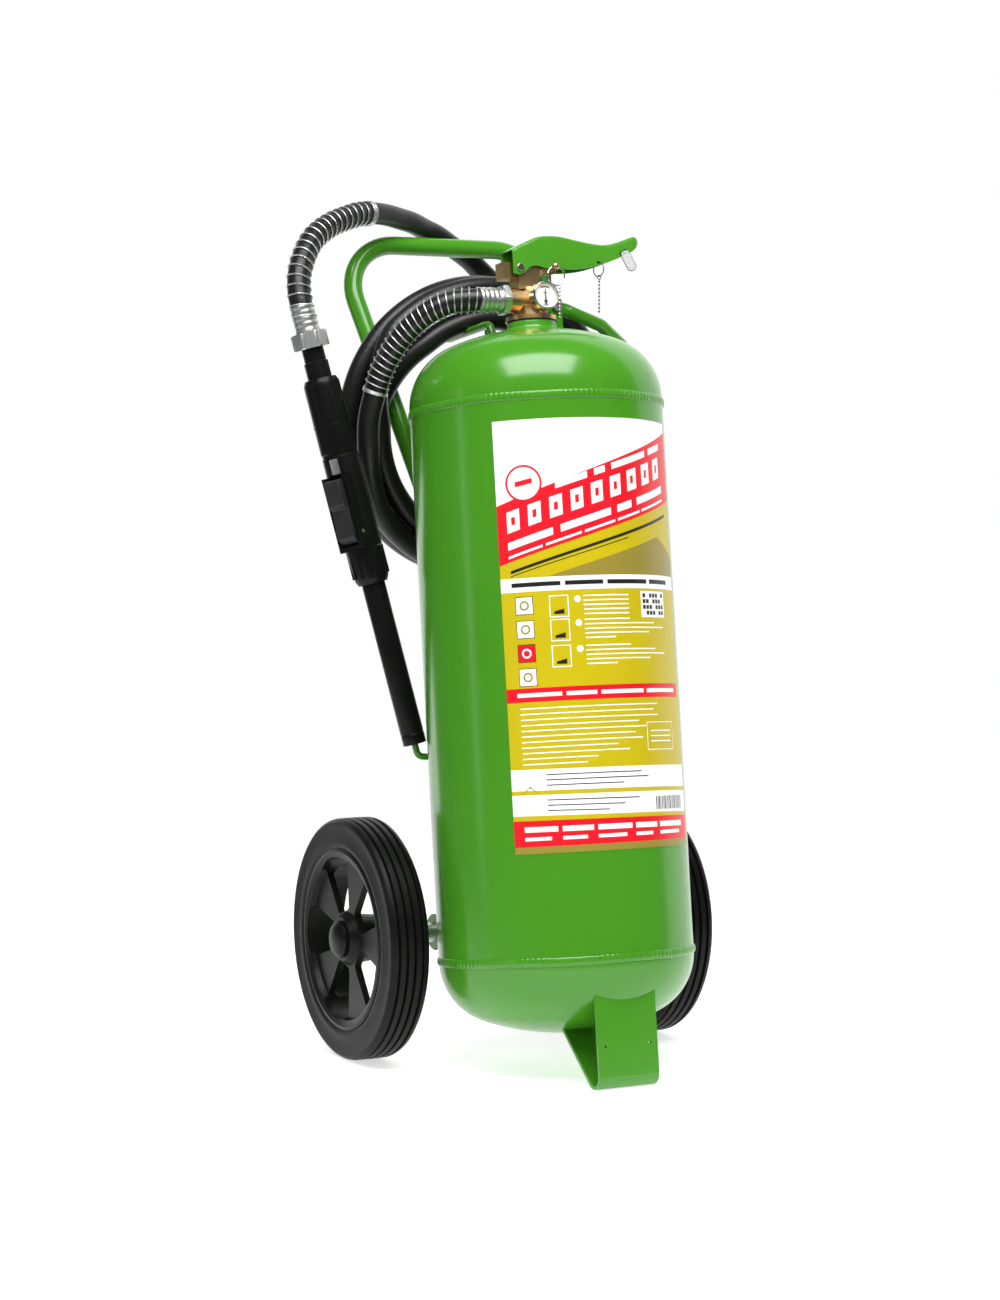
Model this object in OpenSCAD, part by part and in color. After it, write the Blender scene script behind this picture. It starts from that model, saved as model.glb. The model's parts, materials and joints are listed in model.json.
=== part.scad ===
// Wheeled stored-pressure extinguisher: a welded cylinder on two wheels and a front
// foot, with a push bar, a brass squeeze valve, a coiled hose and a discharge gun.
// Everything above the wheels is drawn upright, in the cylinder's own frame, and
// then leaned back about the wheel axle until the foot stands on the floor.

/* [Cylinder] */
// Outside diameter of the cylinder
tank_d = 300; // [280:2:304]
// Wall thickness of the shell and the domes
wall = 3; // [2:0.5:5]
// Height of the lower weld seam, in the cylinder's frame
seam_lo = 114; // [110:1:118]
// Height of the upper weld seam
seam_hi = 756; // [742:1:762]
// Crown radius of the domes
crown_r = 280; // [270:5:290]
// Knuckle radius of the domes
knuckle_r = 75; // [72:1:78]
// Backward lean of the cylinder on its foot, in degrees
lean = 6.7; // [5:0.1:8]

/* [Wheels] */
// Wheel diameter over the tread
wheel_d = 288; // [270:2:300]
// Tyre width
tyre_w = 50; // [40:1:54]
// Distance between the outer faces of the tyres
track_w = 434; // [428:2:450]
// Axle position behind the cylinder's axis
axle_y = 160; // [159:1:170]
// Axle diameter
axle_d = 16; // [14:1:20]

/* [Handle] */
// Tube diameter of the push bar
bar_d = 23; // [20:1:25]
// Half the width of the push bar, to the corner of its centre line
bar_half = 150; // [145:1:155]
// Height of the cross bar
bar_z = 994; // [980:1:1000]
// Distance of the cross bar behind the cylinder's axis
bar_y = 217; // [214:1:220]

/* [Hose] */
// Outside diameter of the hose
hose_d = 27; // [24:1:27]
// Mean radius of the hose coil
coil_r = 157; // [155:0.5:159]

/* [Valve] */
// Diameter of the pressure gauge
gauge_d = 34; // [30:1:38]
// Travel of the squeeze lever, in degrees
lever_travel = 6; // [3:0.5:6]

/* [Hidden] */
$fn = 64;

tank_r = tank_d / 2;
wheel_r = wheel_d / 2;
neck_r = 30;
neck_z = 861;
// straight flanges of the top and the bottom dome
flange_hi = 7.5;
flange_lo = 1.5;
// straight down, seen from the leaning cylinder
plumb = [0, sin(lean), -cos(lean)];
wheel_x = (track_w - tyre_w) / 2;
lever_pivot = [-19, 925];
pin_pos = [26, 927];
pin_ball_y = -20.5;
pin_ring_r = 11.5;
needle_z = 882;
gauge_x = 2;
gauge_z = 889;
outlet_z = 888;
gun_end = [-134, 100, 371];
gun_tilt = 12.8;
gun_turn = 55;
sticker_at = -100;
green = [0.24, 0.62, 0.2];
brass = [0.78, 0.58, 0.3];
black = [0.07, 0.07, 0.07];
zinc = [0.72, 0.74, 0.74];

// Coil plane: it hangs plumb behind the leaning cylinder.
coil_c = [0, 145, 757];
coil_tilt = 12.4;

// Hose route, centre line, in the cylinder's frame.
lead_route = [
  [-62, 2, 888], [-78, 7, 888], [-98, 17, 886], [-118, 31, 877], [-136, 48, 861],
  [-150, 63, 841], [-161, 79, 815], [-167, 92, 787], [-171, 103, 757],
  [-169, 112, 724], [-160, 128, 692], [-144, 146, 661], [-129, 154, 642],
  [-112.5, 158.5, 627.5]
];
tail_route = [
  [161, 172, 703], [168, 166, 735], [171, 164, 768], [168, 174, 803], [158, 195, 840],
  [143, 215, 873], [125, 231, 903], [108, 239, 931], [93, 243, 946], [78, 246, 961],
  [62, 247, 976], [48, 246, 988], [24, 243, 1002], [2, 237, 1013], [-20, 229, 1019],
  [-43, 217, 1024], [-66, 206, 1026], [-87, 195, 1027], [-109, 184, 1026],
  [-136, 171, 1021], [-154, 162, 1015], [-187, 146, 1001], [-217, 130, 981],
  [-235, 119, 960], [-246, 111, 940], [-251, 107, 925], [-253, 103, 907],
  [-252, 100, 892], [-250, 100, 883]
];

// ---------- vectors, outlines and sweeps ----------

function unit(v) = v / norm(v);
function mix(a, b, t) = a + (b - a) * t;

// Cubic Bezier stretch from a to d, without its first point
function bezier(a, b, c, d, n) = [for (i = [1:n]) let (t = i / n, s = 1 - t)
  a * s * s * s + 3 * b * s * s * t + 3 * c * s * t * t + d * t * t * t];

// Outline with each corner [x, y, r] rounded to radius r
function rounded(p, n = 4) = [for (i = [0:len(p) - 1])
  let (m = len(p), q = p[i], a = p[(i + m - 1) % m], b = p[(i + 1) % m],
       c = [q.x, q.y], u = unit([a.x, a.y] - c), w = unit([b.x, b.y] - c),
       h = acos(max(-1, min(1, u * w))) / 2, o = c + unit(u + w) * q.z / sin(h),
       s = c + u * q.z / tan(h) - o, e = c + w * q.z / tan(h) - o)
  each q.z == 0 ? [c] : [for (k = [0:n]) o + q.z * unit(mix(s, e, k / n))]];

// Point at parameter t (0..1) of a Catmull-Rom curve through the points p
function spline(p, t) =
  let (m = len(p) - 1, f = min(t * m, m - 0.000001), i = floor(f), s = f - i,
       a = i == 0 ? 2 * p[0] - p[1] : p[i - 1], b = p[i], c = p[i + 1],
       d = i + 2 > m ? 2 * p[m] - p[m - 1] : p[i + 2])
  0.5 * (2 * b + (c - a) * s + (2 * a - 5 * b + 4 * c - d) * s * s
         + (3 * b - a - 3 * c + d) * s * s * s);

// Direction of that curve, and two directions square to it
function spline_dir(p, t) =
  unit(spline(p, min(1, t + 0.002)) - spline(p, max(0, t - 0.002)));
function side_dir(d) = unit(cross(d, [0.1, 1, 0.05]));
function up_dir(d) = cross(side_dir(d), d);

// Solid tube of diameter d swept along the line of points, with the given sides
module sweep_line(line, dirs, d, sides) {
  m = len(line);
  pts = [for (i = [0:m - 1], k = [0:sides - 1])
    let (a = 360 * k / sides, s = side_dir(dirs[i]), u = up_dir(dirs[i]))
    line[i] + d / 2 * (cos(a) * s + sin(a) * u)];
  faces = concat(
    [[for (k = [0:sides - 1]) k]],
    [[for (k = [sides - 1:-1:0]) (m - 1) * sides + k]],
    [for (i = [0:m - 2], k = [0:sides - 1]) let (n = (k + 1) % sides)
      each [[i * sides + k, (i + 1) * sides + k, (i + 1) * sides + n],
            [i * sides + k, (i + 1) * sides + n, i * sides + n]]]);
  polyhedron(pts, faces);
}

// Hose stretch along a route, as one swept tube with the given number of rings
module hose(route, rings, d = hose_d) {
  ts = [for (i = [0:rings - 1]) i / (rings - 1)];
  sweep_line([for (t = ts) spline(route, t)], [for (t = ts) spline_dir(route, t)], d, 12);
}

// Helical wire guard of the given outside diameter round a route, from t0 to t1
module guard(route, t0, t1, turns, d, wire) {
  n = turns * 10;
  line = [for (i = [0:n]) let (t = mix(t0, t1, i / n), a = 36 * i,
      dir = spline_dir(route, t), s = side_dir(dir), u = up_dir(dir))
    spline(route, t) + (d - wire) / 2 * (cos(a) * s + sin(a) * u)];
  dirs = [for (i = [0:n]) unit(line[min(n, i + 1)] - line[max(0, i - 1)])];
  wire_line(line, dirs, wire);
}

// Thin wire along a line, six-sided
module wire_line(line, dirs, d) {
  m = len(line);
  // square directions that don't flip round the helix
  pts = [for (i = [0:m - 1], k = [0:5])
    let (s = unit(cross(dirs[i], unit(line[i] - line[(i + 5 < m) ? i + 5 : i - 5]))),
         u = cross(s, dirs[i]))
    line[i] + d / 2 * (cos(60 * k) * s + sin(60 * k) * u)];
  faces = concat(
    [[for (k = [0:5]) k]], [[for (k = [5:-1:0]) (m - 1) * 6 + k]],
    [for (i = [0:m - 2], k = [0:5]) let (n = (k + 1) % 6)
      each [[i * 6 + k, (i + 1) * 6 + k, (i + 1) * 6 + n],
            [i * 6 + k, (i + 1) * 6 + n, i * 6 + n]]]);
  polyhedron(pts, faces);
}

// Round bar between two points
module rod(a, b, d, bore = 0) {
  v = b - a;
  translate(a) rotate([0, acos(v.z / norm(v)), atan2(v.y, v.x)]) difference() {
    cylinder(d = d, h = norm(v));
    if (bore > 0) translate([0, 0, -1]) cylinder(d = bore, h = norm(v) + 2);
  }
}

// Bent round bar or tube through corner points p, every bend of radius r. A thin
// weld collar, a hair proud, joins each straight to its bend.
module pipe(p, r, d, bore = 0) {
  m = len(p) - 1;
  half = [for (i = [1:m - 1]) acos(unit(p[i - 1] - p[i]) * unit(p[i + 1] - p[i])) / 2];
  cut = [for (h = half) r / tan(h)];
  for (i = [0:m - 1]) {
    dir = unit(p[i + 1] - p[i]);
    a = i == 0 ? p[0] : p[i] + dir * (cut[i - 1] + 0.1);
    b = i == m - 1 ? p[m] : p[i + 1] - dir * (cut[i] + 0.1);
    rod(a, b, d, bore);
    if (i > 0) rod(a - dir * 0.9, a + dir * 0.7, d + 0.3, max(0, bore - 0.3));
    if (i < m - 1) rod(b - dir * 0.7, b + dir * 0.9, d + 0.3, max(0, bore - 0.3));
  }
  for (i = [1:m - 1]) {
    u = unit(p[i - 1] - p[i]);
    w = unit(p[i + 1] - p[i]);
    h = half[i - 1];
    o = p[i] + unit(u + w) * r / sin(h);
    x = unit(p[i] + u * cut[i - 1] - o);
    z = unit(cross(x, unit(p[i] + w * cut[i - 1] - o)));
    y = cross(z, x);
    multmatrix([[x.x, y.x, z.x, o.x], [x.y, y.y, z.y, o.y], [x.z, y.z, z.z, o.z]])
      rotate_extrude(angle = 180 - 2 * h) translate([r, 0]) difference() {
        circle(d = d);
        if (bore > 0) circle(d = bore);
      }
  }
}

// Places: the leaned cylinder frame, the gun's own frame, and a left or right wheel.
// The row frame's origin is on the floor, midway between the two wheels.
module leaned() {
  translate([0, 0, wheel_r]) rotate([-lean, 0, 0]) translate([0, -axle_y, -wheel_r])
    children();
}
module gun_frame() {
  leaned() translate(gun_end) rotate([0, -gun_tilt, 0]) rotate([0, 0, -gun_turn])
    children();
}
module wheel_frame(side) {
  translate([side * wheel_x, 0, wheel_r]) rotate([0, side * 90, 0]) children();
}

// ---------- cylinder ----------

// Arc of radius r round the point c, from angle a0 to a1
function arc(c, r, a0, a1, n) = [for (i = [0:n]) let (a = mix(a0, a1, i / n))
  c + r * [cos(a), sin(a)]];

// Dome outline from the seam to the radius stop: flange, knuckle and crown
function dome_line(flange, stop, inset = 0) =
  let (k = knuckle_r - inset, c = crown_r - inset, kc = [tank_r - knuckle_r, flange],
       join = acos((tank_r - knuckle_r) / (crown_r - knuckle_r)),
       cc = [0, flange - (crown_r - knuckle_r) * sin(join)])
  concat([[tank_r - inset, 0]], arc(kc, k, 0, join, 8),
         arc(cc, c, join + (acos(stop / c) - join) / 8, acos(stop / c), 7));

module dome(flange, hole) {
  inner = dome_line(flange, hole, wall);
  m = len(inner);
  rotate_extrude($fn = 96) polygon(concat(
    dome_line(flange, hole), [for (i = [m - 1:-1:0]) inner[i]]));
}

// The space a dome fills, for cutting what is welded on to it
module dome_fill(flange) {
  rotate_extrude($fn = 96) polygon(concat([[0, 0]], dome_line(flange, 0)));
}

module shell() {
  color(green) leaned() translate([0, 0, seam_lo]) difference() {
    cylinder(r = tank_r, h = seam_hi - seam_lo, $fn = 96);
    translate([0, 0, -1]) cylinder(r = tank_r - wall, h = seam_hi - seam_lo + 2, $fn = 96);
  }
}

module top_dome() {
  color(green) leaned() translate([0, 0, seam_hi]) dome(flange_hi, neck_r);
}

module bottom_dome() {
  color(green) leaned() translate([0, 0, seam_lo]) mirror([0, 0, 1]) dome(flange_lo, 0);
}

module weld_beads() {
  color(green) leaned() for (z = [seam_lo, seam_hi])
    translate([0, 0, z]) rotate_extrude($fn = 96) intersection() {
      translate([tank_r - 6, 0]) circle(r = 8);
      translate([tank_r, -8]) square(16);
    }
}

module neck_ring() {
  color(green) leaned() translate([0, 0, 826]) difference() {
    cylinder(r = neck_r, h = neck_z - 826);
    translate([0, 0, -1]) cylinder(r = 24, h = neck_z - 824);
  }
}

// Printed wrap, a thin skin on the front of the shell
module label_wrap() {
  half = 48.5;
  color([0.85, 0.8, 0.5]) leaned() translate([0, 0, 236]) rotate([0, 0, -90 - half])
    rotate_extrude(angle = 2 * half, $fn = 96) translate([tank_r, 0]) square([0.5, 492]);
}

// ---------- foot ----------

foot_w = 78;
foot_t = 4;
foot_bend = 14;
// bend centre, set so that the bend just touches the floor
foot_y = -120;
foot_z = wheel_r + (foot_bend - wheel_r + (foot_y - axle_y) * sin(lean)) / cos(lean);

module foot() {
  inner_r = foot_bend - foot_t;
  // tops of the two plates, inside the dome that they are cut to
  front = [foot_y - foot_bend, 84];
  back = [-48, 40];
  rise = back - [foot_y, foot_z];
  slope = atan2(rise.y, rise.x) + asin(inner_r / norm(rise));
  out = arc([foot_y, foot_z], foot_bend, 180, 270 + slope, 8);
  inn = arc([foot_y, foot_z], inner_r, 270 + slope, 180, 8);
  color(green) leaned() difference() {
    translate([-foot_w / 2, 0, 0]) rotate([90, 0, 90]) linear_extrude(foot_w) polygon(concat(
      [front + [foot_t, 0], front], out, [out[8] + back - inn[0], back], inn));
    // two small holes in the front plate
    for (x = [-29, 29])
      translate([x, foot_y, 15]) rotate([90, 0, 0]) cylinder(d = 3.6, h = 40, $fn = 24);
    translate([0, 0, seam_lo]) mirror([0, 0, 1]) dome_fill(flange_lo);
  }
}

// ---------- handle, hose hanger and gun peg ----------

handle_end = [87, 138, 684];
handle_path = [[-handle_end.x, handle_end.y, handle_end.z], [-bar_half, bar_y, bar_z],
               [bar_half, bar_y, bar_z], handle_end];

module handle_tube() {
  color(green) leaned() pipe(handle_path, 66, bar_d, bar_d - 4);
}

// Welded shoes that close the tube ends against the shell
module handle_lugs() {
  color(green) leaned() for (s = [-1, 1]) difference() {
    rod([s * handle_end.x, handle_end.y, handle_end.z - 2],
        [s * (handle_end.x - 9), handle_end.y - 8, handle_end.z - 30], bar_d);
    translate([0, 0, 620]) cylinder(r = tank_r, h = 120, $fn = 96);
    // square cut under the tube's own end
    translate([s * handle_end.x, handle_end.y, handle_end.z])
      rotate([0, 0, atan2(bar_y - handle_end.y, s * (bar_half - handle_end.x))])
      rotate([0, atan2(norm([bar_half - handle_end.x, bar_y - handle_end.y]),
                       bar_z - handle_end.z), 0]) translate([0, 0, 0.05]) cylinder(d = 60, h = 30);
  }
}

module hanger_bracket() {
  color(green) leaned() difference() {
    union() {
      translate([31, 12, 838]) cube([19, 4, 56]);
      translate([31, 8, 838]) cube([4, 26, 40]);
    }
    translate([41.5, 20, 885]) rotate([90, 0, 0]) cylinder(d = 8.1, h = 20, $fn = 24);
    translate([0, 0, seam_hi]) dome_fill(flange_hi);
    translate([0, 0, 830]) cylinder(r = neck_r, h = 31);
  }
}

// Bent rod with a flattened eye, bolted to the bracket and welded to the shoulder
hanger_path = [[60, 20, 882], [112, 29, 867], [154, 46, 842], [150, 84, 800], [114, 88, 778]];

module hanger_arm() {
  color(green) leaned() {
    pipe(hanger_path, 20, 16);
    difference() {
      union() {
        translate([41.5, 22, 885]) rotate([90, 0, 0]) cylinder(d = 20, h = 6);
        translate([41.5, 16, 877]) cube([19.5, 6, 16]);
      }
      translate([41.5, 40, 885]) rotate([90, 0, 0]) cylinder(d = 8.1, h = 50, $fn = 24);
    }
  }
}

module hanger_bolt() {
  color(zinc) leaned() {
    translate([41.5, 23, 885]) rotate([90, 0, 0]) cylinder(d = 8, h = 12, $fn = 24);
    translate([41.5, 12, 885]) rotate([90, 0, 0]) cylinder(d = 13, h = 5, $fn = 6);
    translate([41.5, 28.5, 885]) rotate([90, 0, 0]) cylinder(d = 13, h = 6, $fn = 6);
  }
}

// Two rods that carry the top of the coil, with upturned tips
module hose_saddle() {
  color(green) leaned() for (x = [-30, 30])
    pipe([[x, 34, 838], [x, 50, 868], [x, 164, 868], [x, 172, 905]], 12, 10);
}

// Hook that the gun's nozzle stands on
module gun_peg() {
  color(green) leaned() difference() {
    pipe([[-100, 100, 354], gun_end + [3, 0, -15], gun_end + 30 * [-sin(gun_tilt), 0, cos(gun_tilt)]],
         9, 8);
    translate([0, 0, 300]) cylinder(r = tank_r, h = 100, $fn = 96);
  }
}

// ---------- running gear ----------

module axle() {
  color(zinc) translate([-wheel_x - tyre_w / 2 - 3, 0, wheel_r]) rotate([0, 90, 0])
    cylinder(d = axle_d, h = track_w + 6);
}

// Plates welded to the shell, bored for the axle
module axle_brackets() {
  color(green) for (s = [-1, 1]) difference() {
    union() {
      leaned() translate([s * 88 - 4, 92, wheel_r - 22]) cube([8, axle_y - 92 - 10, 56]);
      translate([s * 88 - 4, 0, wheel_r]) rotate([0, 90, 0]) cylinder(d = 44, h = 8);
    }
    translate([-200, 0, wheel_r]) rotate([0, 90, 0]) cylinder(d = axle_d, h = 400);
    leaned() translate([0, 0, seam_lo - 20]) cylinder(r = tank_r, h = 200, $fn = 96);
  }
}

// Spacer tubes between the brackets and the wheels, and the retaining washers
module axle_spacers() {
  color(zinc) for (s = [-1, 1]) {
    a = s * (92.2);
    b = s * (wheel_x - tyre_w / 2 - 2.3);
    rod([a, 0, wheel_r], [b, 0, wheel_r], 24, axle_d);
    rod([s * (wheel_x + tyre_w / 2 - 0.2), 0, wheel_r],
        [s * (wheel_x + tyre_w / 2 + 1.8), 0, wheel_r], 28, axle_d);
  }
}

// Solid rubber tyre: five ribs on the crown and dished side walls
module tyre(side) {
  w = tyre_w / 2;
  r = wheel_r;
  in = wheel_r * 0.75;
  half = [[in, -w + 2], [in + 6, -w], [r - 16, -w + 2.5], [r - 8, -w],
          [r - 3, -w + 2], [r - 1, -w + 5]];
  grooves = [for (i = [-3:2:3]) each [[r - 0.4 * abs(i) / 3, i * 5 - 1.6], [r - 4, i * 5 - 1],
                                      [r - 4, i * 5 + 1], [r - 0.4 * abs(i) / 3, i * 5 + 1.6]]];
  wheel_frame(side) rotate_extrude($fn = 96) polygon(concat(
    half, grooves, [for (i = [5:-1:0]) [half[i].x, -half[i].y]]));
}

// Moulded rim: lip, hub and five broad spokes
module rim(side) {
  w = tyre_w / 2;
  lip = wheel_r * 0.75;
  floor_r = wheel_r * 0.67;
  window = rounded([
    [36 * cos(-24), 36 * sin(-24), 5], [floor_r * cos(-19), floor_r * sin(-19), 6],
    [floor_r * 1.07, 0, 60], [floor_r * cos(19), floor_r * sin(19), 6],
    [36 * cos(24), 36 * sin(24), 5]]);
  wheel_frame(side) difference() {
    rotate_extrude($fn = 96) polygon([
      [13, -w - 2], [24, -w - 2], [27, -w + 6], [30, 6], [floor_r - 6, 8], [floor_r, 2],
      [floor_r, -w + 1], [lip, -w + 1], [lip, w - 1], [lip - 4, w], [floor_r, w - 2],
      [floor_r - 3, 16], [32, 15], [28, w - 4], [26, w - 1], [13, w - 1]]);
    for (i = [0:4]) rotate([0, 0, 72 * i + (side < 0 ? 19 : -19) + 36 + 180])
      translate([0, 0, -w]) linear_extrude(2 * w) polygon(window);
  }
}

module bush(side) {
  wheel_frame(side) translate([0, 0, -tyre_w / 2 - 2]) difference() {
    cylinder(r = 13, h = tyre_w + 1);
    translate([0, 0, -1]) cylinder(d = axle_d + 0.1, h = tyre_w + 3);
  }
}

module cap(side) {
  wheel_frame(side) translate([0, 0, tyre_w / 2 - 1]) rotate_extrude() polygon(concat(
    [[16, 0], [22, 0], [22, 4], [20.5, 5]],
    [for (i = [1:6]) [20 * cos(15 * i), 5 + 6 * sin(15 * i)]],
    [[0, 8.5], [14, 8.5], [16, 6]]));
}

module tyre_left() { color(black) tyre(-1); }
module rim_left() { color([0.12, 0.12, 0.12]) rim(-1); }
module bush_left() { color("white") bush(-1); }
module cap_left() { color([0.1, 0.1, 0.1]) cap(-1); }
module tyre_right() { color(black) tyre(1); }
module rim_right() { color([0.12, 0.12, 0.12]) rim(1); }
module bush_right() { color("white") bush(1); }
module cap_right() { color([0.1, 0.1, 0.1]) cap(1); }

// ---------- valve ----------

module dip_tube() {
  color(zinc) leaned() translate([0, 0, 45]) difference() {
    cylinder(d = 24, h = 793);
    translate([0, 0, -1]) cylinder(d = 20, h = 795);
  }
}

module neck_seal() {
  color(black) leaned() translate([0, 0, neck_z]) difference() {
    cylinder(r = 29, h = 2.2);
    translate([0, 0, -1]) cylinder(r = 23.5, h = 4.2);
  }
}

module valve_body() {
  color(brass) leaned() difference() {
    union() {
      translate([0, 0, 835]) cylinder(r = 23.5, h = 30);
      translate([0, 0, neck_z + 2.2]) cylinder(r = neck_r + 0.5, h = 5);
      translate([0, 0, 868]) cylinder(r = 22, h = 12, $fn = 8);
      translate([0, 0, 879]) cylinder(r = 16, h = 24);
      translate([-20, -11.8, 900]) cube([44, 23.6, 30]);
      translate([20, -11.8, 921]) cube([12, 23.6, 10]);
      translate([-39, -9.5, 912]) cube([24, 19, 20]);
      // outlet and gauge bosses
      translate([-32, 0, outlet_z]) rotate([0, 90, 0]) cylinder(d = 30, h = 32);
      translate([gauge_x, 0, gauge_z]) rotate([90, 0, 0]) cylinder(d = 15, h = 23.9);
    }
    translate([0, 0, 834]) cylinder(d = 20, h = 60);
    translate([0, 0, 834]) cylinder(d = 24, h = 4);
    translate([5, 0, 880]) cylinder(d = 8.1, h = 60);
    translate([-40, 0, outlet_z]) rotate([0, 90, 0]) cylinder(d = 18, h = 40);
    translate([lever_pivot.x, 20, lever_pivot.y]) rotate([90, 0, 0]) cylinder(d = 6, h = 40);
    translate([pin_pos.x, 20, pin_pos.y]) rotate([90, 0, 0]) cylinder(d = 4.1, h = 40);
  }
}

module valve_stem() {
  color(zinc) leaned() {
    translate([5, 0, 884]) cylinder(d = 8, h = 73.4);
    translate([5, 0, 879]) cylinder(d = 9.5, h = 5);
  }
}

// Return spring in the chamber below the stem
module stem_spring() {
  n = 60;
  line = [for (i = [0:n]) let (a = 36 * i) [5 + 3.4 * cos(a), 3.4 * sin(a), 862 + 16.4 * i / n]];
  dirs = [for (i = [0:n]) unit(line[min(n, i + 1)] - line[max(0, i - 1)])];
  color(zinc) leaned() wire_line(line, dirs, 1);
}

module gauge_case() {
  color(zinc) leaned() translate([gauge_x, -24, gauge_z]) rotate([90, 0, 0]) rotate_extrude()
    polygon([[0, 0], [gauge_d / 2 - 2, 0], [gauge_d / 2, 2], [gauge_d / 2, 12.5],
             [gauge_d / 2 - 1, 14], [gauge_d / 2 - 2.2, 14], [gauge_d / 2 - 2.2, 10], [0, 10]]);
}

module gauge_dial() {
  color("white") leaned() translate([gauge_x, -34, gauge_z]) rotate([90, 0, 0])
    cylinder(r = gauge_d / 2 - 2.3, h = 0.8);
}

module gauge_needle() {
  color(black) leaned() translate([gauge_x, -35.1, needle_z]) rotate([90, 0, 0]) {
    cylinder(r = 1.8, h = 1.4, $fn = 24);
    translate([0, 0, 0.3]) linear_extrude(0.6)
      polygon([[-0.9, -4], [0.9, -4], [0.5, 14], [-0.5, 14]]);
  }
}

module gauge_lens() {
  color([0.9, 0.95, 0.95, 0.3]) leaned() translate([gauge_x, -36.8, gauge_z]) rotate([90, 0, 0])
    cylinder(r = gauge_d / 2 - 2.3, h = 1);
}

// ---------- squeeze lever ----------

lever_w = 31;
lever_t = 1.5;

// Side outline, clockwise from the heel: back edge, crown, saddle, tip and belly
lever_top = concat([[-28, 921], [-28, 947]],
  bezier([-28, 947], [-22, 950], [-4, 959], [7, 963], 4),
  bezier([7, 963], [18, 965.5], [32, 965.5], [40, 964.5], 4),
  bezier([40, 964.5], [60, 961.5], [80, 957], [96, 957], 6),
  bezier([96, 957], [114, 957.5], [128, 966], [141, 969], 6),
  bezier([141, 969], [149, 969], [148, 962], [143, 956], 4));
lever_belly = concat(
  bezier([143, 956], [136, 948], [126, 946], [116, 941], 5),
  bezier([116, 941], [96, 933], [72, 925], [44, 925], 6),
  bezier([44, 925], [34, 925], [18, 925], [12, 926], 3),
  bezier([12, 926], [6, 928.5], [0, 928.5], [-6, 926], 3),
  bezier([-6, 926], [-12, 920], [-16, 916.5], [-21, 916.5], 4),
  [[-26, 918]]);

module lever_plate(w) {
  translate([0, w / 2, 0]) rotate([90, 0, 0]) linear_extrude(w)
    polygon(concat(lever_top, lever_belly));
}

module lever() {
  color(green) leaned() difference() {
    lever_plate(lever_w);
    // hollow of the channel, open below and at the heel
    translate([0, 14, 0]) rotate([90, 0, 0]) linear_extrude(28)
      polygon(concat([[-40, 900], [-40, 945.6]],
        [for (p = lever_top) if (p.y > 946.5 && p.x < 141.5) p - [0, 2]],
        [[140, 960], [160, 900]]));
    // pivot, pin notch, ring and tag holes
    translate([lever_pivot.x, 20, lever_pivot.y]) rotate([90, 0, 0]) cylinder(d = 6.1, h = 40);
    translate([pin_pos.x - 2.6, -20, 915]) cube([5.2, 40,
      pin_pos.y + 2.8 + (pin_pos.x - lever_pivot.x) * sin(lever_travel) - 915]);
    translate([88, 0, 935]) rotate([90, 0, 0]) cylinder(d = 4.6, h = 20, $fn = 24);
    translate([124, 0, 949]) rotate([0, -27, 0]) translate([-7, -20, -2]) cube([14, 40, 4]);
  }
}

module lever_rivet() {
  color(zinc) leaned() translate([lever_pivot.x, 0, lever_pivot.y]) rotate([90, 0, 0]) {
    translate([0, 0, -15.8]) cylinder(d = 6, h = 31.6);
    for (s = [-1, 1]) translate([0, 0, s * 16.8 - 1]) cylinder(d = 9, h = 2);
  }
}

// Pin with a ball head, bored crosswise for the ring
module safety_pin() {
  color(brass) leaned() translate([pin_pos.x, 0, pin_pos.y]) rotate([90, 0, 0]) difference() {
    union() {
      translate([0, 0, -20]) cylinder(d = 4, h = 38);
      translate([0, 0, -pin_ball_y]) sphere(d = 9.5);
    }
    translate([-10, -0.6, -pin_ball_y]) rotate([0, 90, 0]) cylinder(d = 3.4, h = 20);
  }
}

module pin_ring() {
  color(zinc) leaned() translate([pin_pos.x, pin_ball_y, pin_pos.y - pin_ring_r])
    rotate([90, 0, 0]) rotate_extrude() translate([pin_ring_r, 0]) circle(d = 1.6, $fn = 24);
}

// A run of linked beads that hangs plumb from the point top
module beads(top, n, d, pitch) {
  for (i = [0:n - 1]) translate(top + plumb * pitch * (i + 0.5)) sphere(d = d, $fn = 16);
  rod(top, top + plumb * pitch * n, 0.9);
}

module pin_chain() {
  color(zinc) leaned()
    beads([pin_pos.x + 4, pin_ball_y, pin_pos.y - 2 * pin_ring_r - 0.25], 9, 3, 4.4);
}

// Small plastic seal, wired to the pin
module tamper_seal() {
  color([0.1, 0.5, 0.2]) leaned() {
    translate([9, -19, 909]) cube([6, 5, 7]);
    rod([12, -16.5, 915], [pin_pos.x - 1.5, -16.5, pin_pos.y - 0.5], 1);
  }
}

module lever_ring() {
  color([0.3, 0.3, 0.3]) leaned() translate([88, -14.75, 926.5]) rotate([0, 0, -74])
    rotate([90, 0, 0]) rotate_extrude() translate([8.5, 0]) circle(d = 1.3, $fn = 24);
}

module lever_chain() {
  color([0.3, 0.3, 0.3]) leaned() {
    translate([88, -14.75, 916.9]) rotate([90, 0, 0]) rotate_extrude()
      translate([2.4, 0]) circle(d = 1.1, $fn = 24);
    beads([88, -14.75, 914.5], 9, 2.6, 4.5);
  }
}

// Loop tag that hangs from the slot near the lever's tip
module lever_tag() {
  color([0.8, 0.8, 0.8]) leaned() {
    translate([124, -17.2, 947]) rotate([0, -28, 0]) rotate([90, 0, 0]) linear_extrude(1)
      polygon(rounded([[-6.5, 3, 6], [6.5, 3, 6], [6.5, -23, 6.4], [-6.5, -23, 6.4]], 6));
    rod([124, -17.5, 948.5], [124, -12.5, 948.5], 2);
  }
}

// ---------- hose, ferrules and guards ----------

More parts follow.
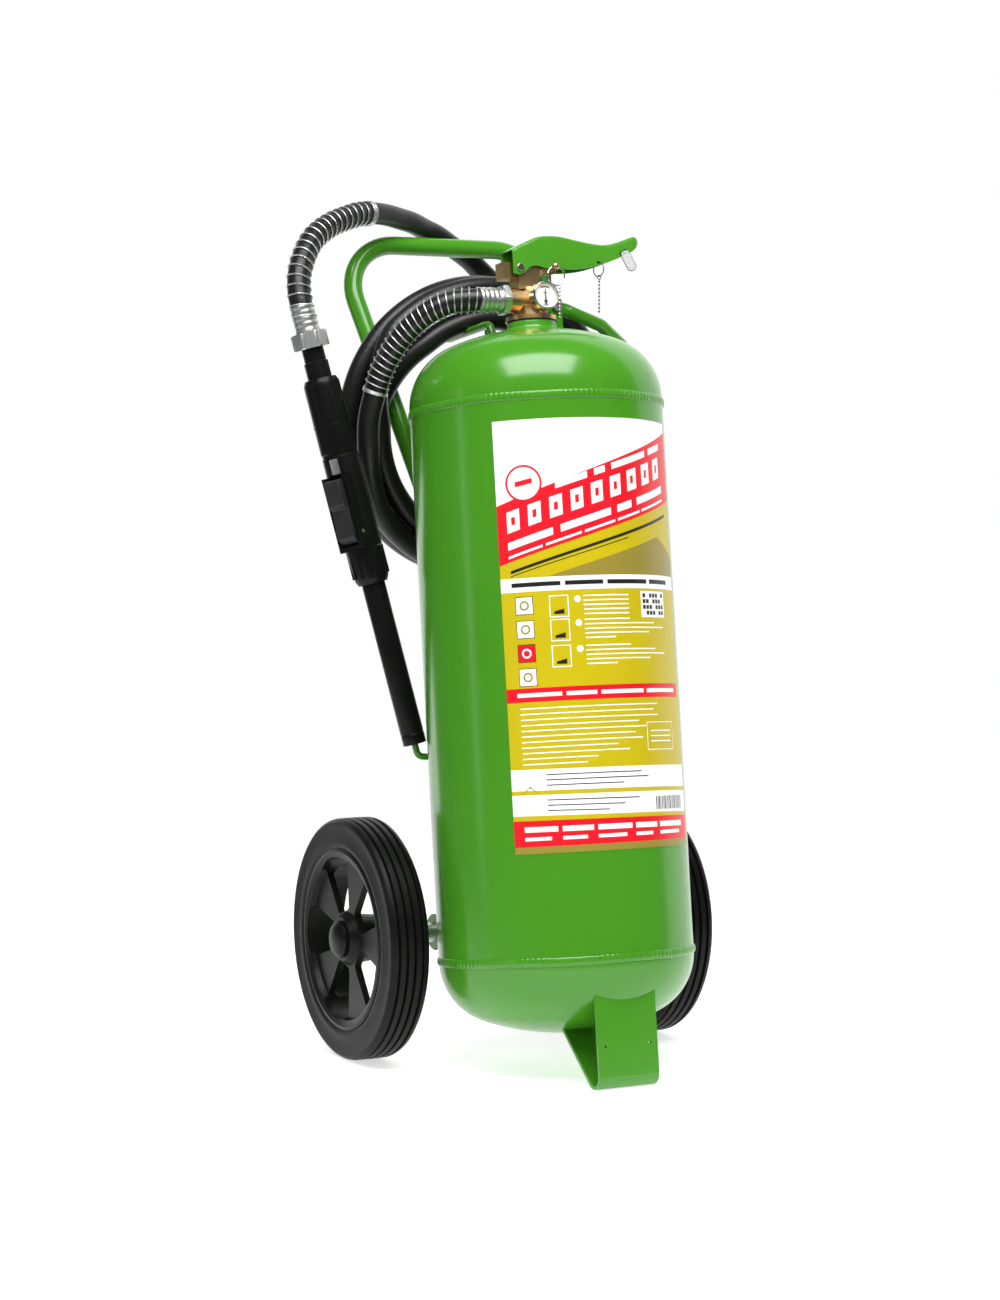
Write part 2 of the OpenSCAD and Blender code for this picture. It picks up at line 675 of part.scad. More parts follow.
module outlet_nut() {
  color(zinc) leaned() translate([-40, 0, outlet_z]) rotate([0, 90, 0]) difference() {
    cylinder(d = 38, h = 8, $fn = 6);
    translate([0, 0, -1]) cylinder(d = 18, h = 10);
  }
}

module outlet_ferrule() {
  color(zinc) leaned() translate([-40, 0, outlet_z]) rotate([0, -90, 0]) difference() {
    rotate_extrude() polygon([[9, 0], [15, 0], [14.6, 3], [14.6, 28], [14, 30], [9, 30]]);
    translate([0, 0, 22]) cylinder(d = hose_d, h = 9);
  }
}

module hose_lead() { color(black) leaned() hose(lead_route, 16); }
module hose_tail() { color(black) leaned() hose(tail_route, 26); }

// Closed outer shape of the coil: two layers of turns, two turns deep, with its
// front layer set back so that it clears the shell
module hose_coil() {
  c = 2 * hose_d + 3;
  set_back = 2.6;
  color(black) leaned() translate(coil_c) rotate([90 + coil_tilt, 0, 0])
    rotate_extrude($fn = 96) translate([coil_r, 0]) polygon(rounded([
      [-c / 2, -c / 2 - 0.7, 13], [c / 2, -c / 2 - 0.7, 13], [c / 2, c / 2 - set_back, 13],
      [-c / 2, c / 2 - set_back, 13]]));
}

// Wire guards, which start over the ferrules
module lead_guard() {
  color(zinc) leaned() guard(concat([[-42, 0, 888]], lead_route), 0.01, 0.533, 24, 31, 1.8);
}
module tail_guard() {
  color(zinc) leaned() guard(concat(tail_route, [[-246, 100, 864]]), 0.655, 0.99, 22, 31, 1.8);
}

// ---------- gun ----------

module gun_ferrule() {
  color(zinc) gun_frame() translate([0, 0, 502]) difference() {
    rotate_extrude() polygon([[9, 0], [15, 0], [14.6, 3], [14.6, 31], [14, 33], [9, 33]]);
    translate([0, 0, 22]) cylinder(d = hose_d, h = 12);
  }
}

module gun_nut() {
  color(zinc) gun_frame() translate([0, 0, 483]) difference() {
    cylinder(d = 43, h = 19, $fn = 6);
    translate([0, 0, -1]) cylinder(d = 18, h = 26);
  }
}

// Black moulded body: adapter, barrel with a ring, and the trigger housing
module gun_body() {
  color(black) gun_frame() difference() {
    union() {
      rotate_extrude() polygon([[7, 240], [22, 240], [22, 352], [21, 353], [21, 356],
        [22, 357], [21.5, 440], [19, 446], [14.5, 447], [14.5, 466], [13, 467],
        [13, 483], [7, 483]]);
      translate([-16, -30, 240]) cube([32, 30, 90]);
    }
    translate([0, 0, 200]) cylinder(r = 7, h = 300);
    translate([-11.4, -60, 246]) cube([22.8, 48, 84.5]);
    translate([-30, -20, 260]) rotate([0, 90, 0]) cylinder(d = 5.1, h = 60);
  }
}

// Trigger: a blade on its pin and a thumb pad above it
module gun_trigger() {
  color([0.15, 0.15, 0.16]) gun_frame() difference() {
    translate([-11, 0, 0]) rotate([90, 0, 90]) linear_extrude(22) polygon(rounded([
      [-14, 250, 2], [-27, 248, 3], [-36, 256, 5], [-33, 291, 3], [-39, 294, 5],
      [-39, 326, 5], [-29, 326, 3], [-18, 300, 2]]));
    translate([-30, -20, 260]) rotate([0, 90, 0]) cylinder(d = 5.1, h = 60);
  }
}

module trigger_pin() {
  color(zinc) gun_frame() translate([-16.5, -20, 260]) rotate([0, 90, 0])
    cylinder(d = 5, h = 33);
}

module gun_sticker() {
  color([0.75, 0.75, 0.75]) gun_frame() rotate([0, 0, sticker_at])
    translate([0, 0, 332]) rotate_extrude(angle = 28) translate([22.05, 0]) square([0.4, 18]);
}

// Flared collar with moulded ribs that grips the lance
module gun_collar() {
  color(black) gun_frame() difference() {
    union() {
      rotate_extrude() polygon([[14.1, 197], [17.5, 197], [20.5, 203], [22, 225], [22.8, 239.7],
        [14.1, 239.7]]);
      for (i = [0:11]) rotate([0, 0, 30 * i]) translate([17, -1.2, 206])
        cube([5.5, 2.4, 28]);
    }
    translate([0, 0, 190]) cylinder(r = 14.1, h = 60);
  }
}

module gun_lance() {
  color(black) gun_frame() difference() {
    cylinder(r = 14, h = 239.6);
    translate([0, 0, -1]) cylinder(r = 11, h = 241);
  }
}

shell();
top_dome();
bottom_dome();
weld_beads();
neck_ring();
label_wrap();
foot();
handle_tube();
handle_lugs();
hanger_bracket();
hanger_arm();
hanger_bolt();
hose_saddle();
gun_peg();
axle();
axle_brackets();
axle_spacers();
tyre_left();
rim_left();
bush_left();
cap_left();
tyre_right();
rim_right();
bush_right();
cap_right();
dip_tube();
neck_seal();
valve_body();
valve_stem();
stem_spring();
gauge_case();
gauge_dial();
gauge_needle();
gauge_lens();
lever();
lever_rivet();
safety_pin();
pin_ring();
pin_chain();
tamper_seal();
lever_ring();
lever_chain();
lever_tag();
outlet_nut();
outlet_ferrule();
hose_lead();
hose_coil();
hose_tail();
lead_guard();
tail_guard();
gun_ferrule();
gun_nut();
gun_body();
gun_trigger();
trigger_pin();
gun_sticker();
gun_collar();
gun_lance();
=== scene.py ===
"""Wheeled fire extinguisher: the looks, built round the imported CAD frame.

Lengths are metres. Most of the object is drawn in the cylinder's own upright
place and then leaned back about the wheel axle, as the CAD model is.
"""
import json
import logging
import math
from dataclasses import dataclass
from enum import Enum
from typing import Iterable, Sequence

import bmesh
import bpy
import numpy as np
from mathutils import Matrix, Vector


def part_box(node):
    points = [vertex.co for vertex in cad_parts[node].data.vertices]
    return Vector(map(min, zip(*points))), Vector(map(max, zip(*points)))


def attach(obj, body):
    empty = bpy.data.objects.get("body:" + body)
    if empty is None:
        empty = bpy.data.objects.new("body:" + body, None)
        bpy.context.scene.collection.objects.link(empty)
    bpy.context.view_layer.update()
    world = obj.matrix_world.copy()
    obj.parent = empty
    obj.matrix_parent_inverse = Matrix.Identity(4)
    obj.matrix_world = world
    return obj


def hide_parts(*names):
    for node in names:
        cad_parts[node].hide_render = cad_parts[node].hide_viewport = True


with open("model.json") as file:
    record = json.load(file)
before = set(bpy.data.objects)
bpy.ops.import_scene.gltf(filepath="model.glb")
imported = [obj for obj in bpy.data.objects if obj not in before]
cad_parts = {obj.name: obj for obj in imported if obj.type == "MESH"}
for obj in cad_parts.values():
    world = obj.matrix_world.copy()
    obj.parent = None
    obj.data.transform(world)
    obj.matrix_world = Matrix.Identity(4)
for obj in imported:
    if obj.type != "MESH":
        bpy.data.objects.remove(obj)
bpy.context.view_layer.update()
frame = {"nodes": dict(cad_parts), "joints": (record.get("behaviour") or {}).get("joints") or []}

LOG = logging.getLogger("extinguisher")
Array = np.ndarray
BODY = "extinguisher"


# ---------- places ----------

def turn_about(axis: int, degrees: float) -> Array:
    """Rotation matrix about one of the three axes.

    Args:
        axis: 0 for X, 1 for Y, 2 for Z.
        degrees: angle by the right-hand rule.

    Returns:
        A 3 by 3 matrix for column vectors.
    """
    c, s = math.cos(math.radians(degrees)), math.sin(math.radians(degrees))
    i, j = (axis + 1) % 3, (axis + 2) % 3
    out = np.eye(3)
    out[i, i], out[i, j], out[j, i], out[j, j] = c, -s, s, c
    return out


@dataclass(frozen=True)
class Place:
    """A rigid place: local points are turned and then shifted into the row frame."""

    turn: Array
    origin: Array

    def put(self, local: Sequence | Array) -> Array:
        """Local points in the row frame."""
        return np.asarray(local, float) @ self.turn.T + self.origin

    def inside(self, turn: Array, origin: Sequence) -> "Place":
        """A place stated within this one.

        Args:
            turn: its rotation within this place.
            origin: its origin within this place.

        Returns:
            The same place, stated in the row frame.
        """
        return Place(self.turn @ turn, self.put(origin))


def joint(name: str) -> dict:
    """The record's joint of that name."""
    return next(j for j in frame["joints"] if j["name"] == name)


WHEEL_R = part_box("tyre_left")[1].z / 2
AXLE_BACK = 0.160     # from the cylinder's axis back to the axle
LEAN = math.degrees(math.asin(abs(joint("stem_push")["axis"][1])))
_LEAN_TURN = turn_about(0, -LEAN)
CYLINDER = Place(_LEAN_TURN, np.array([0, 0, WHEEL_R]) - _LEAN_TURN @ [0, AXLE_BACK, WHEEL_R])
GUN_TILT, GUN_TURN = 12.8, 55.0
GUN_END = (-0.134, 0.100, 0.371)
GUN = CYLINDER.inside(turn_about(1, -GUN_TILT) @ turn_about(2, -GUN_TURN), GUN_END)
FORWARD = turn_about(0, 90)     # local Z to the front, local Y up


# ---------- shapes ----------

def unit(v: Array) -> Array:
    """Vectors of length one along the last axis."""
    return v / np.maximum(np.linalg.norm(v, axis=-1, keepdims=True), 1e-12)


def arc(centre: Sequence, radius: float, start: float, end: float, steps: int) -> Array:
    """Points round a centre: centre + radius * (cos a, sin a), start to end in degrees."""
    a = np.radians(np.linspace(start, end, steps + 1))
    return np.asarray(centre) + radius * np.stack([np.cos(a), np.sin(a)], -1)


def soften(points: Sequence, radii: float | Sequence[float], steps: int = 5) -> Array:
    """A line through corner points with each inner corner turned into an arc.

    The arc's centre lies on the corner's bisector at radius / sin(half angle), and
    the arc runs between the two points where it touches the straights.

    Args:
        points: the corners, in two or three dimensions.
        radii: one radius, or one for each inner corner.
        steps: the pieces of each arc.

    Returns:
        The softened line as an array of points.
    """
    p = np.asarray(points, float)
    r = np.broadcast_to(np.asarray(radii, float), (len(p) - 2,))
    runs = [p[:1]]
    for corner, before, after, radius in zip(p[1:-1], p[:-2], p[2:], r):
        u, w = unit(before - corner), unit(after - corner)
        half = math.acos(float(np.clip(u @ w, -1, 1))) / 2
        if radius <= 0 or half > 1.56:
            runs.append(corner[None])
            continue
        centre = corner + unit(u + w) * radius / math.sin(half)
        touch = radius / math.tan(half)
        a, b = corner + u * touch - centre, corner + w * touch - centre
        t = np.linspace(0, 1, steps + 1)[:, None]
        span = math.acos(float(np.clip(unit(a) @ unit(b), -1, 1)))
        runs.append(centre + (np.sin((1 - t) * span) * a + np.sin(t * span) * b) / math.sin(span))
    return np.vstack(runs + [p[-1:]])


def bezier(a: Sequence, b: Sequence, c: Sequence, d: Sequence, steps: int = 12) -> Array:
    """Points of a cubic Bezier curve.

    point = a (1 - t)^3 + 3 b t (1 - t)^2 + 3 c t^2 (1 - t) + d t^3.

    Args:
        a: where it starts.
        b: what it is first pulled towards.
        c: what it is then pulled towards.
        d: where it ends.
        steps: number of straight pieces.

    Returns:
        The points, steps + 1 of them.
    """
    t = np.linspace(0, 1, steps + 1)[:, None]
    a, b, c, d = (np.asarray(q, float) for q in (a, b, c, d))
    return a * (1 - t) ** 3 + 3 * b * t * (1 - t) ** 2 + 3 * c * t ** 2 * (1 - t) + d * t ** 3


def spline(points: Array, per_span: int) -> Array:
    """Catmull-Rom curve through points.

    Each span is the cubic that meets its two points with half the difference of
    their neighbours as its slope. The first and last spans use mirrored neighbours.

    Args:
        points: the points, n by 2 or 3.
        per_span: steps in each span.

    Returns:
        The curve's points.
    """
    p = np.vstack([2 * points[:1] - points[1:2], points, 2 * points[-1:] - points[-2:-1]])
    t = np.linspace(0, 1, per_span, endpoint=False)[None, :, None]
    a, b, c, d = (p[i:len(p) - 3 + i, None] for i in range(4))
    curve = 0.5 * (2 * b + (c - a) * t + (2 * a - 5 * b + 4 * c - d) * t ** 2
                   + (3 * b - a - 3 * c + d) * t ** 3)
    return np.vstack([curve.reshape(-1, points.shape[1]), points[-1:]])


def length_along(path: Array) -> Array:
    """Distance from the first point to each point of a path."""
    return np.concatenate([[0], np.cumsum(np.linalg.norm(np.diff(path, axis=0), axis=1))])


def evenly(path: Array, count: int) -> Array:
    """The same path as points at equal distances along it.

    Args:
        path: the path, n by 2 or 3.
        count: number of points wanted.

    Returns:
        The new points, found straight between the old ones.
    """
    s = length_along(path)
    at = np.linspace(0, s[-1], count)
    return np.stack([np.interp(at, s, path[:, i]) for i in range(path.shape[1])], -1)


def side_and_up(path: Array, beside: Array) -> tuple[Array, Array]:
    """Two directions square to a path.

    side = direction of the path cross beside, and up = side cross direction.

    Args:
        path: the centre line, n by 3.
        beside: a direction that the path never runs along, or one for each point.

    Returns:
        The side and the up direction at each point.
    """
    along = unit(np.gradient(path, axis=0))
    side = unit(np.cross(along, beside))
    return side, np.cross(side, along)


def tube(path: Array, radius: float | Array, sides: int = 16,
         beside: Sequence | Array = (0.1, 1.0, 0.05)) -> Array:
    """A round profile carried along a path, closed at both ends.

    point = path + radius * (cos a * side + sin a * up), with a ring of radius 0
    added at each end.

    Args:
        path: the centre line, n by 3.
        radius: the radius, or one for each point of the path.
        sides: the sides of the profile.
        beside: a direction that the path never runs along, or one for each point.

    Returns:
        A grid of points, n + 2 by sides + 1 by 3.
    """
    side, up = side_and_up(path, np.asarray(beside, float))
    a = np.linspace(0, 2 * np.pi, sides + 1)[None, :, None]
    r = np.broadcast_to(np.asarray(radius, float), (len(path),))[:, None, None]
    rings = path[:, None] + r * (np.cos(a) * side[:, None] + np.sin(a) * up[:, None])
    ends = np.repeat(path[[0, -1], None], sides + 1, axis=1)
    return np.concatenate([ends[:1], rings, ends[1:]])


def lathe(profile: Array, place: Place, sides: int = 64) -> Array:
    """A profile turned about the place's Z axis: (r cos a, r sin a, z).

    Args:
        profile: the outline's (radius, height) points.
        place: where the axis is.
        sides: steps round the axis.

    Returns:
        A grid of points, profile by sides + 1 by 3.
    """
    a = np.linspace(0, 2 * np.pi, sides + 1)
    r, z = profile[:, :1], np.repeat(profile[:, 1:2], sides + 1, axis=1)
    return place.put(np.stack([r * np.cos(a), r * np.sin(a), z], -1))


def helix_wire(base: Array, coil_r: float, turns: float, wire_r: float, sides: int = 8) -> Array:
    """A wire wound round a base path.

    Its centre is base + coil_r * (cos a * side + sin a * up), where a grows evenly,
    and its own profile is squared up against the base's direction.

    Args:
        base: the path that it is wound round.
        coil_r: radius to the middle of the wire.
        turns: number of turns.
        wire_r: radius of the wire.
        sides: sides of the wire's profile.

    Returns:
        The wire's grid of points.
    """
    path = evenly(base, int(abs(turns) * 20) + 1)
    side, up = side_and_up(path, np.array([0.1, 1.0, 0.05]))
    a = np.linspace(0, 2 * np.pi * turns, len(path))[:, None]
    centre = path + coil_r * (np.cos(a) * side + np.sin(a) * up)
    return tube(centre, wire_r, sides, unit(np.gradient(path, axis=0)))


def hex_nut(place: Place, across: float, bore: float, low: float, high: float,
            chamfer: float) -> Array:
    """A hexagonal nut with its corners turned off at both faces.

    The radius at angle a is the smaller of the hexagon's apothem / cos(a) and of
    the turned corner, across / 2 / cos(30 degrees) less the chamfer at the faces.

    Args:
        place: where its axis and angle are.
        across: size across the flats.
        bore: radius of the hole.
        low: height of its first face.
        high: height of its last face.
        chamfer: how far the corners are turned down.

    Returns:
        The nut's grid of points.
    """
    a = np.linspace(0, 2 * np.pi, 97)
    flat = across / 2 / np.cos((a + np.pi / 6) % (np.pi / 3) - np.pi / 6)
    corner = across / 2 / math.cos(math.pi / 6)
    rows = [(bore, low), (corner - chamfer, low), (corner, low + chamfer * 0.6),
            (corner, high - chamfer * 0.6), (corner - chamfer, high), (bore, high), (bore, low)]
    radii = np.stack([np.full_like(a, r) if r == bore else np.minimum(flat, r) for r, _ in rows])
    heights = np.array([z for _, z in rows])[:, None] + 0 * a
    return place.put(np.stack([radii * np.cos(a), radii * np.sin(a), heights], -1))


# ---------- meshes ----------

def mesh_object(name: str, mesh: bpy.types.Mesh) -> bpy.types.Object:
    """A new object in the scene.

    Args:
        name: its name.
        mesh: its mesh.

    Returns:
        The object, at the origin.
    """
    made = bpy.data.objects.new(name, mesh)
    bpy.context.scene.collection.objects.link(made)
    return made


def grids_to_mesh(name: str, grids: Iterable[Array], sharp: float = 40, tidy: bool = True,
                  uvs: Sequence[Array] = (),
                  inks: Sequence[Sequence[float]] = ()) -> bpy.types.Object:
    """One object from several grids of points, each a sheet of quads.

    Args:
        name: the piece's name.
        grids: arrays of n by m by 3 points.
        sharp: angle in degrees past which an edge is left sharp.
        tidy: merge seams and poles and turn the faces outwards.
        uvs: for each grid, an array of n by m by 2, or none at all.
        inks: for each grid, its colour, kept as the attribute "ink".

    Returns:
        The object, at the origin, with its place in its mesh.
    """
    grids = list(grids)
    points, quads, start = [], [], 0
    for g in grids:
        n, m = g.shape[:2]
        k = start + np.arange(n * m).reshape(n, m)
        quads.append(np.stack([k[:-1, :-1], k[:-1, 1:], k[1:, 1:], k[1:, :-1]], -1).reshape(-1, 4))
        points.append(g.reshape(-1, 3))
        start += n * m
    mesh = bpy.data.meshes.new(name)
    faces = np.vstack(quads)
    mesh.from_pydata(np.vstack(points).tolist(), [], faces.tolist())
    if uvs:
        flat = np.vstack([u.reshape(-1, 2) for u in uvs])
        mesh.uv_layers.new(name="UVMap").data.foreach_set("uv", flat[faces.ravel()].ravel())
    if inks:
        flat = np.vstack([np.tile([*ink, 1.0], (g.shape[0] * g.shape[1], 1))
                          for ink, g in zip(inks, grids)])
        layer = mesh.color_attributes.new("ink", "FLOAT_COLOR", "POINT")
        layer.data.foreach_set("color", flat.ravel())
    if tidy:
        work = bmesh.new()
        work.from_mesh(mesh)
        bmesh.ops.remove_doubles(work, verts=work.verts, dist=1e-6)
        bmesh.ops.dissolve_degenerate(work, edges=work.edges, dist=1e-7)
        bmesh.ops.recalc_face_normals(work, faces=work.faces)
        work.to_mesh(mesh)
        work.free()
    mesh.shade_smooth()
    mesh.set_sharp_from_angle(angle=math.radians(sharp))
    return mesh_object(name, mesh)


def eased_copy(node: str, name: str, edge: float, segments: int = 3,
               angle: float = 32) -> bpy.types.Object:
    """A copy of a CAD node's mesh with its edges eased, as a cast or moulded piece has.

    Args:
        node: the CAD node.
        name: the new piece's name.
        edge: width of the eased edges.
        segments: steps across each eased edge.
        angle: edges sharper than this many degrees are eased.

    Returns:
        The new object.
    """
    mesh = frame["nodes"][node].data.copy()
    mesh.name = name
    work = bmesh.new()
    work.from_mesh(mesh)
    bmesh.ops.remove_doubles(work, verts=work.verts, dist=2e-6)
    bmesh.ops.dissolve_limit(work, angle_limit=math.radians(1.0), verts=work.verts,
                             edges=work.edges)
    work.to_mesh(mesh)
    work.free()
    mesh.shade_smooth()
    mesh.set_sharp_from_angle(angle=math.radians(angle))
    made = mesh_object(name, mesh)
    bevel = made.modifiers.new("Eased edges", "BEVEL")
    bevel.width, bevel.segments, bevel.limit_method = edge, segments, "ANGLE"
    bevel.angle_limit = math.radians(angle)
    bevel.use_clamp_overlap, bevel.harden_normals = True, True
    return made


def fit_out(piece: bpy.types.Object, body: str, slot: str, material: bpy.types.Material,
            *nodes: str) -> bpy.types.Object:
    """Gives a new piece its finish and its body, and hides the CAD nodes that it stands for.

    Args:
        piece: the new object.
        body: the CAD body that it rides on.
        slot: not used.
        material: its finish.
        *nodes: the CAD nodes that it replaces.

    Returns:
        The same object.
    """
    piece.data.materials.clear()
    piece.data.materials.append(material)
    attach(piece, body)
    if nodes:
        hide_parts(*nodes)
    LOG.info("%s: %d faces on %s", piece.name, len(piece.data.polygons), body)
    return piece


def paint_node(material: bpy.types.Material, *nodes: str) -> None:
    """Gives CAD nodes that are shown as they are a finish of their own.

    Args:
        material: the finish.
        *nodes: the CAD nodes.
    """
    for node in nodes:
        data = frame["nodes"][node].data
        data.materials.clear()
        data.materials.append(material)
        LOG.info("%s: CAD node in %s", node, material.name)


# ---------- finishes ----------

Colour = tuple[float, float, float]


def srgb(red: int, green: int, blue: int) -> Colour:
    """A display colour as the linear colour that shaders use.

    Args:
        red: red from 0 to 255.
        green: green from 0 to 255.
        blue: blue from 0 to 255.

    Returns:
        The three linear parts, from 0 to 1.
    """
    parts = [c / 255 for c in (red, green, blue)]
    linear = [c / 12.92 if c <= 0.04045 else ((c + 0.055) / 1.055) ** 2.4 for c in parts]
    return linear[0], linear[1], linear[2]


@dataclass(frozen=True)
class Coating:
    """Paint, plastic or rubber: colour with slow variation, gloss and surface grain.

    patch and grain are noise scales, per metre; the rest are shares from 0 to 1.
    """

    name: str
    colour: Colour
    variation: float = 0.06
    patch: float = 9.0
    roughness: float = 0.3
    rough_spread: float = 0.05
    grain: float = 300.0
    bump: float = 0.05
    specular: float = 0.5


@dataclass(frozen=True)
class Metal:
    """Bare or plated metal: colour, gloss and how far it is tarnished in patches.

    patch and grain are noise scales, per metre; the rest are shares from 0 to 1.
    """

    name: str
    colour: Colour
    tarnish: Colour
    amount: float = 0.4
    roughness: float = 0.25
    rough_spread: float = 0.12
    patch: float = 60.0
    grain: float = 700.0
    bump: float = 0.05


def blank(name: str) -> tuple[bpy.types.Material, bpy.types.Nodes, bpy.types.NodeLinks]:
    """A new material with an empty tree.

    Args:
        name: its name.

    Returns:
        The material, its nodes and its links.
    """
    made = bpy.data.materials.new(name)
    made.use_nodes = True
    made.node_tree.nodes.clear()
    return made, made.node_tree.nodes, made.node_tree.links


def coated(finish: Coating) -> bpy.types.Material:
    """Paint, plastic or rubber, from its own numbers.

    Args:
        finish: the numbers.

    Returns:
        The material.
    """
    made, nodes, links = blank(finish.name)
    tint = nodes.new("NodeFrame")
    tint.label = "Slow change of colour"
    tint.location = (-900, 300)
    grain = nodes.new("NodeFrame")
    grain.label = "Surface grain and gloss"
    grain.location = (-900, -200)
    where = nodes.new("ShaderNodeTexCoord")
    where.label = "Place on the object"
    where.location = (-1150, 0)
    patches = nodes.new("ShaderNodeTexNoise")
    patches.label = "Patches"
    patches.parent = tint
    patches.location = (0, 0)
    patches.inputs["Scale"].default_value = finish.patch
    patches.inputs["Detail"].default_value = 3.0
    shades = nodes.new("ShaderNodeValToRGB")
    shades.label = "Darker to lighter"
    shades.parent = tint
    shades.location = (200, 0)
    shades.color_ramp.elements[0].position = 0.3
    darker = [c * (1 - finish.variation) for c in finish.colour]
    shades.color_ramp.elements[0].color = (*darker, 1)
    shades.color_ramp.elements[1].position = 0.7
    lighter = [min(1, c * (1 + finish.variation)) for c in finish.colour]
    shades.color_ramp.elements[1].color = (*lighter, 1)
    fine = nodes.new("ShaderNodeTexNoise")
    fine.label = "Fine grain"
    fine.parent = grain
    fine.location = (0, 0)
    fine.inputs["Scale"].default_value = finish.grain
    fine.inputs["Detail"].default_value = 2.0
    gloss = nodes.new("ShaderNodeMapRange")
    gloss.label = "Gloss range"
    gloss.parent = grain
    gloss.location = (200, 120)
    gloss.inputs["To Min"].default_value = finish.roughness - finish.rough_spread
    gloss.inputs["To Max"].default_value = finish.roughness + finish.rough_spread
    relief = nodes.new("ShaderNodeBump")
    relief.label = "Relief of the grain"
    relief.parent = grain
    relief.location = (200, -160)
    relief.inputs["Strength"].default_value = finish.bump
    relief.inputs["Distance"].default_value = 0.001
    shader = nodes.new("ShaderNodeBsdfPrincipled")
    shader.label = "Coating"
    shader.location = (-200, 100)
    shader.inputs["Specular IOR Level"].default_value = finish.specular
    output = nodes.new("ShaderNodeOutputMaterial")
    output.label = "Surface"
    output.location = (120, 100)
    links.new(where.outputs["Object"], patches.inputs["Vector"])
    links.new(where.outputs["Object"], fine.inputs["Vector"])
    links.new(patches.outputs["Fac"], shades.inputs["Fac"])
    links.new(shades.outputs["Color"], shader.inputs["Base Color"])
    links.new(patches.outputs["Fac"], gloss.inputs["Value"])
    links.new(gloss.outputs["Result"], shader.inputs["Roughness"])
    links.new(fine.outputs["Fac"], relief.inputs["Height"])
    links.new(relief.outputs["Normal"], shader.inputs["Normal"])
    links.new(shader.outputs["BSDF"], output.inputs["Surface"])
    return made


def metallic(finish: Metal) -> bpy.types.Material:
    """Bare or plated metal, from its own numbers.

    Args:
        finish: the numbers.

    Returns:
        The material.
    """
    made, nodes, links = blank(finish.name)
    tarnish = nodes.new("NodeFrame")
    tarnish.label = "Tarnish in patches"
    tarnish.location = (-900, 300)
    grain = nodes.new("NodeFrame")
    grain.label = "Tool marks"
    grain.location = (-900, -200)
    where = nodes.new("ShaderNodeTexCoord")
    where.label = "Place on the object"
    where.location = (-1150, 0)
    patches = nodes.new("ShaderNodeTexNoise")
    patches.label = "Patches"
    patches.parent = tarnish
    patches.location = (0, 0)
    patches.inputs["Scale"].default_value = finish.patch
    patches.inputs["Detail"].default_value = 4.0
    colours = nodes.new("ShaderNodeValToRGB")
    colours.label = "Clean to tarnished"
    colours.parent = tarnish
    colours.location = (200, 0)
    mixed = [c + (t - c) * finish.amount for c, t in zip(finish.colour, finish.tarnish)]
    colours.color_ramp.elements[0].position = 0.35
    colours.color_ramp.elements[0].color = (*finish.colour, 1)
    colours.color_ramp.elements[1].position = 0.72
    colours.color_ramp.elements[1].color = (*mixed, 1)
    fine = nodes.new("ShaderNodeTexNoise")
    fine.label = "Fine marks"
    fine.parent = grain
    fine.location = (0, 0)
    fine.inputs["Scale"].default_value = finish.grain
    gloss = nodes.new("ShaderNodeMapRange")
    gloss.label = "Gloss range"
    gloss.parent = grain
    gloss.location = (200, 120)
    gloss.inputs["To Min"].default_value = finish.roughness - finish.rough_spread
    gloss.inputs["To Max"].default_value = finish.roughness + finish.rough_spread
    relief = nodes.new("ShaderNodeBump")
    relief.label = "Relief of the marks"
    relief.parent = grain
    relief.location = (200, -160)
    relief.inputs["Strength"].default_value = finish.bump
    relief.inputs["Distance"].default_value = 0.0005
    shader = nodes.new("ShaderNodeBsdfPrincipled")
    shader.label = "Metal"
    shader.location = (-200, 100)
    shader.inputs["Metallic"].default_value = 1.0
    output = nodes.new("ShaderNodeOutputMaterial")
    output.label = "Surface"
    output.location = (120, 100)
    links.new(where.outputs["Object"], patches.inputs["Vector"])
    links.new(where.outputs["Object"], fine.inputs["Vector"])
    links.new(patches.outputs["Fac"], colours.inputs["Fac"])
    links.new(colours.outputs["Color"], shader.inputs["Base Color"])
    links.new(patches.outputs["Fac"], gloss.inputs["Value"])
    links.new(gloss.outputs["Result"], shader.inputs["Roughness"])
    links.new(fine.outputs["Fac"], relief.inputs["Height"])
    links.new(relief.outputs["Normal"], shader.inputs["Normal"])
    links.new(shader.outputs["BSDF"], output.inputs["Surface"])
    return made


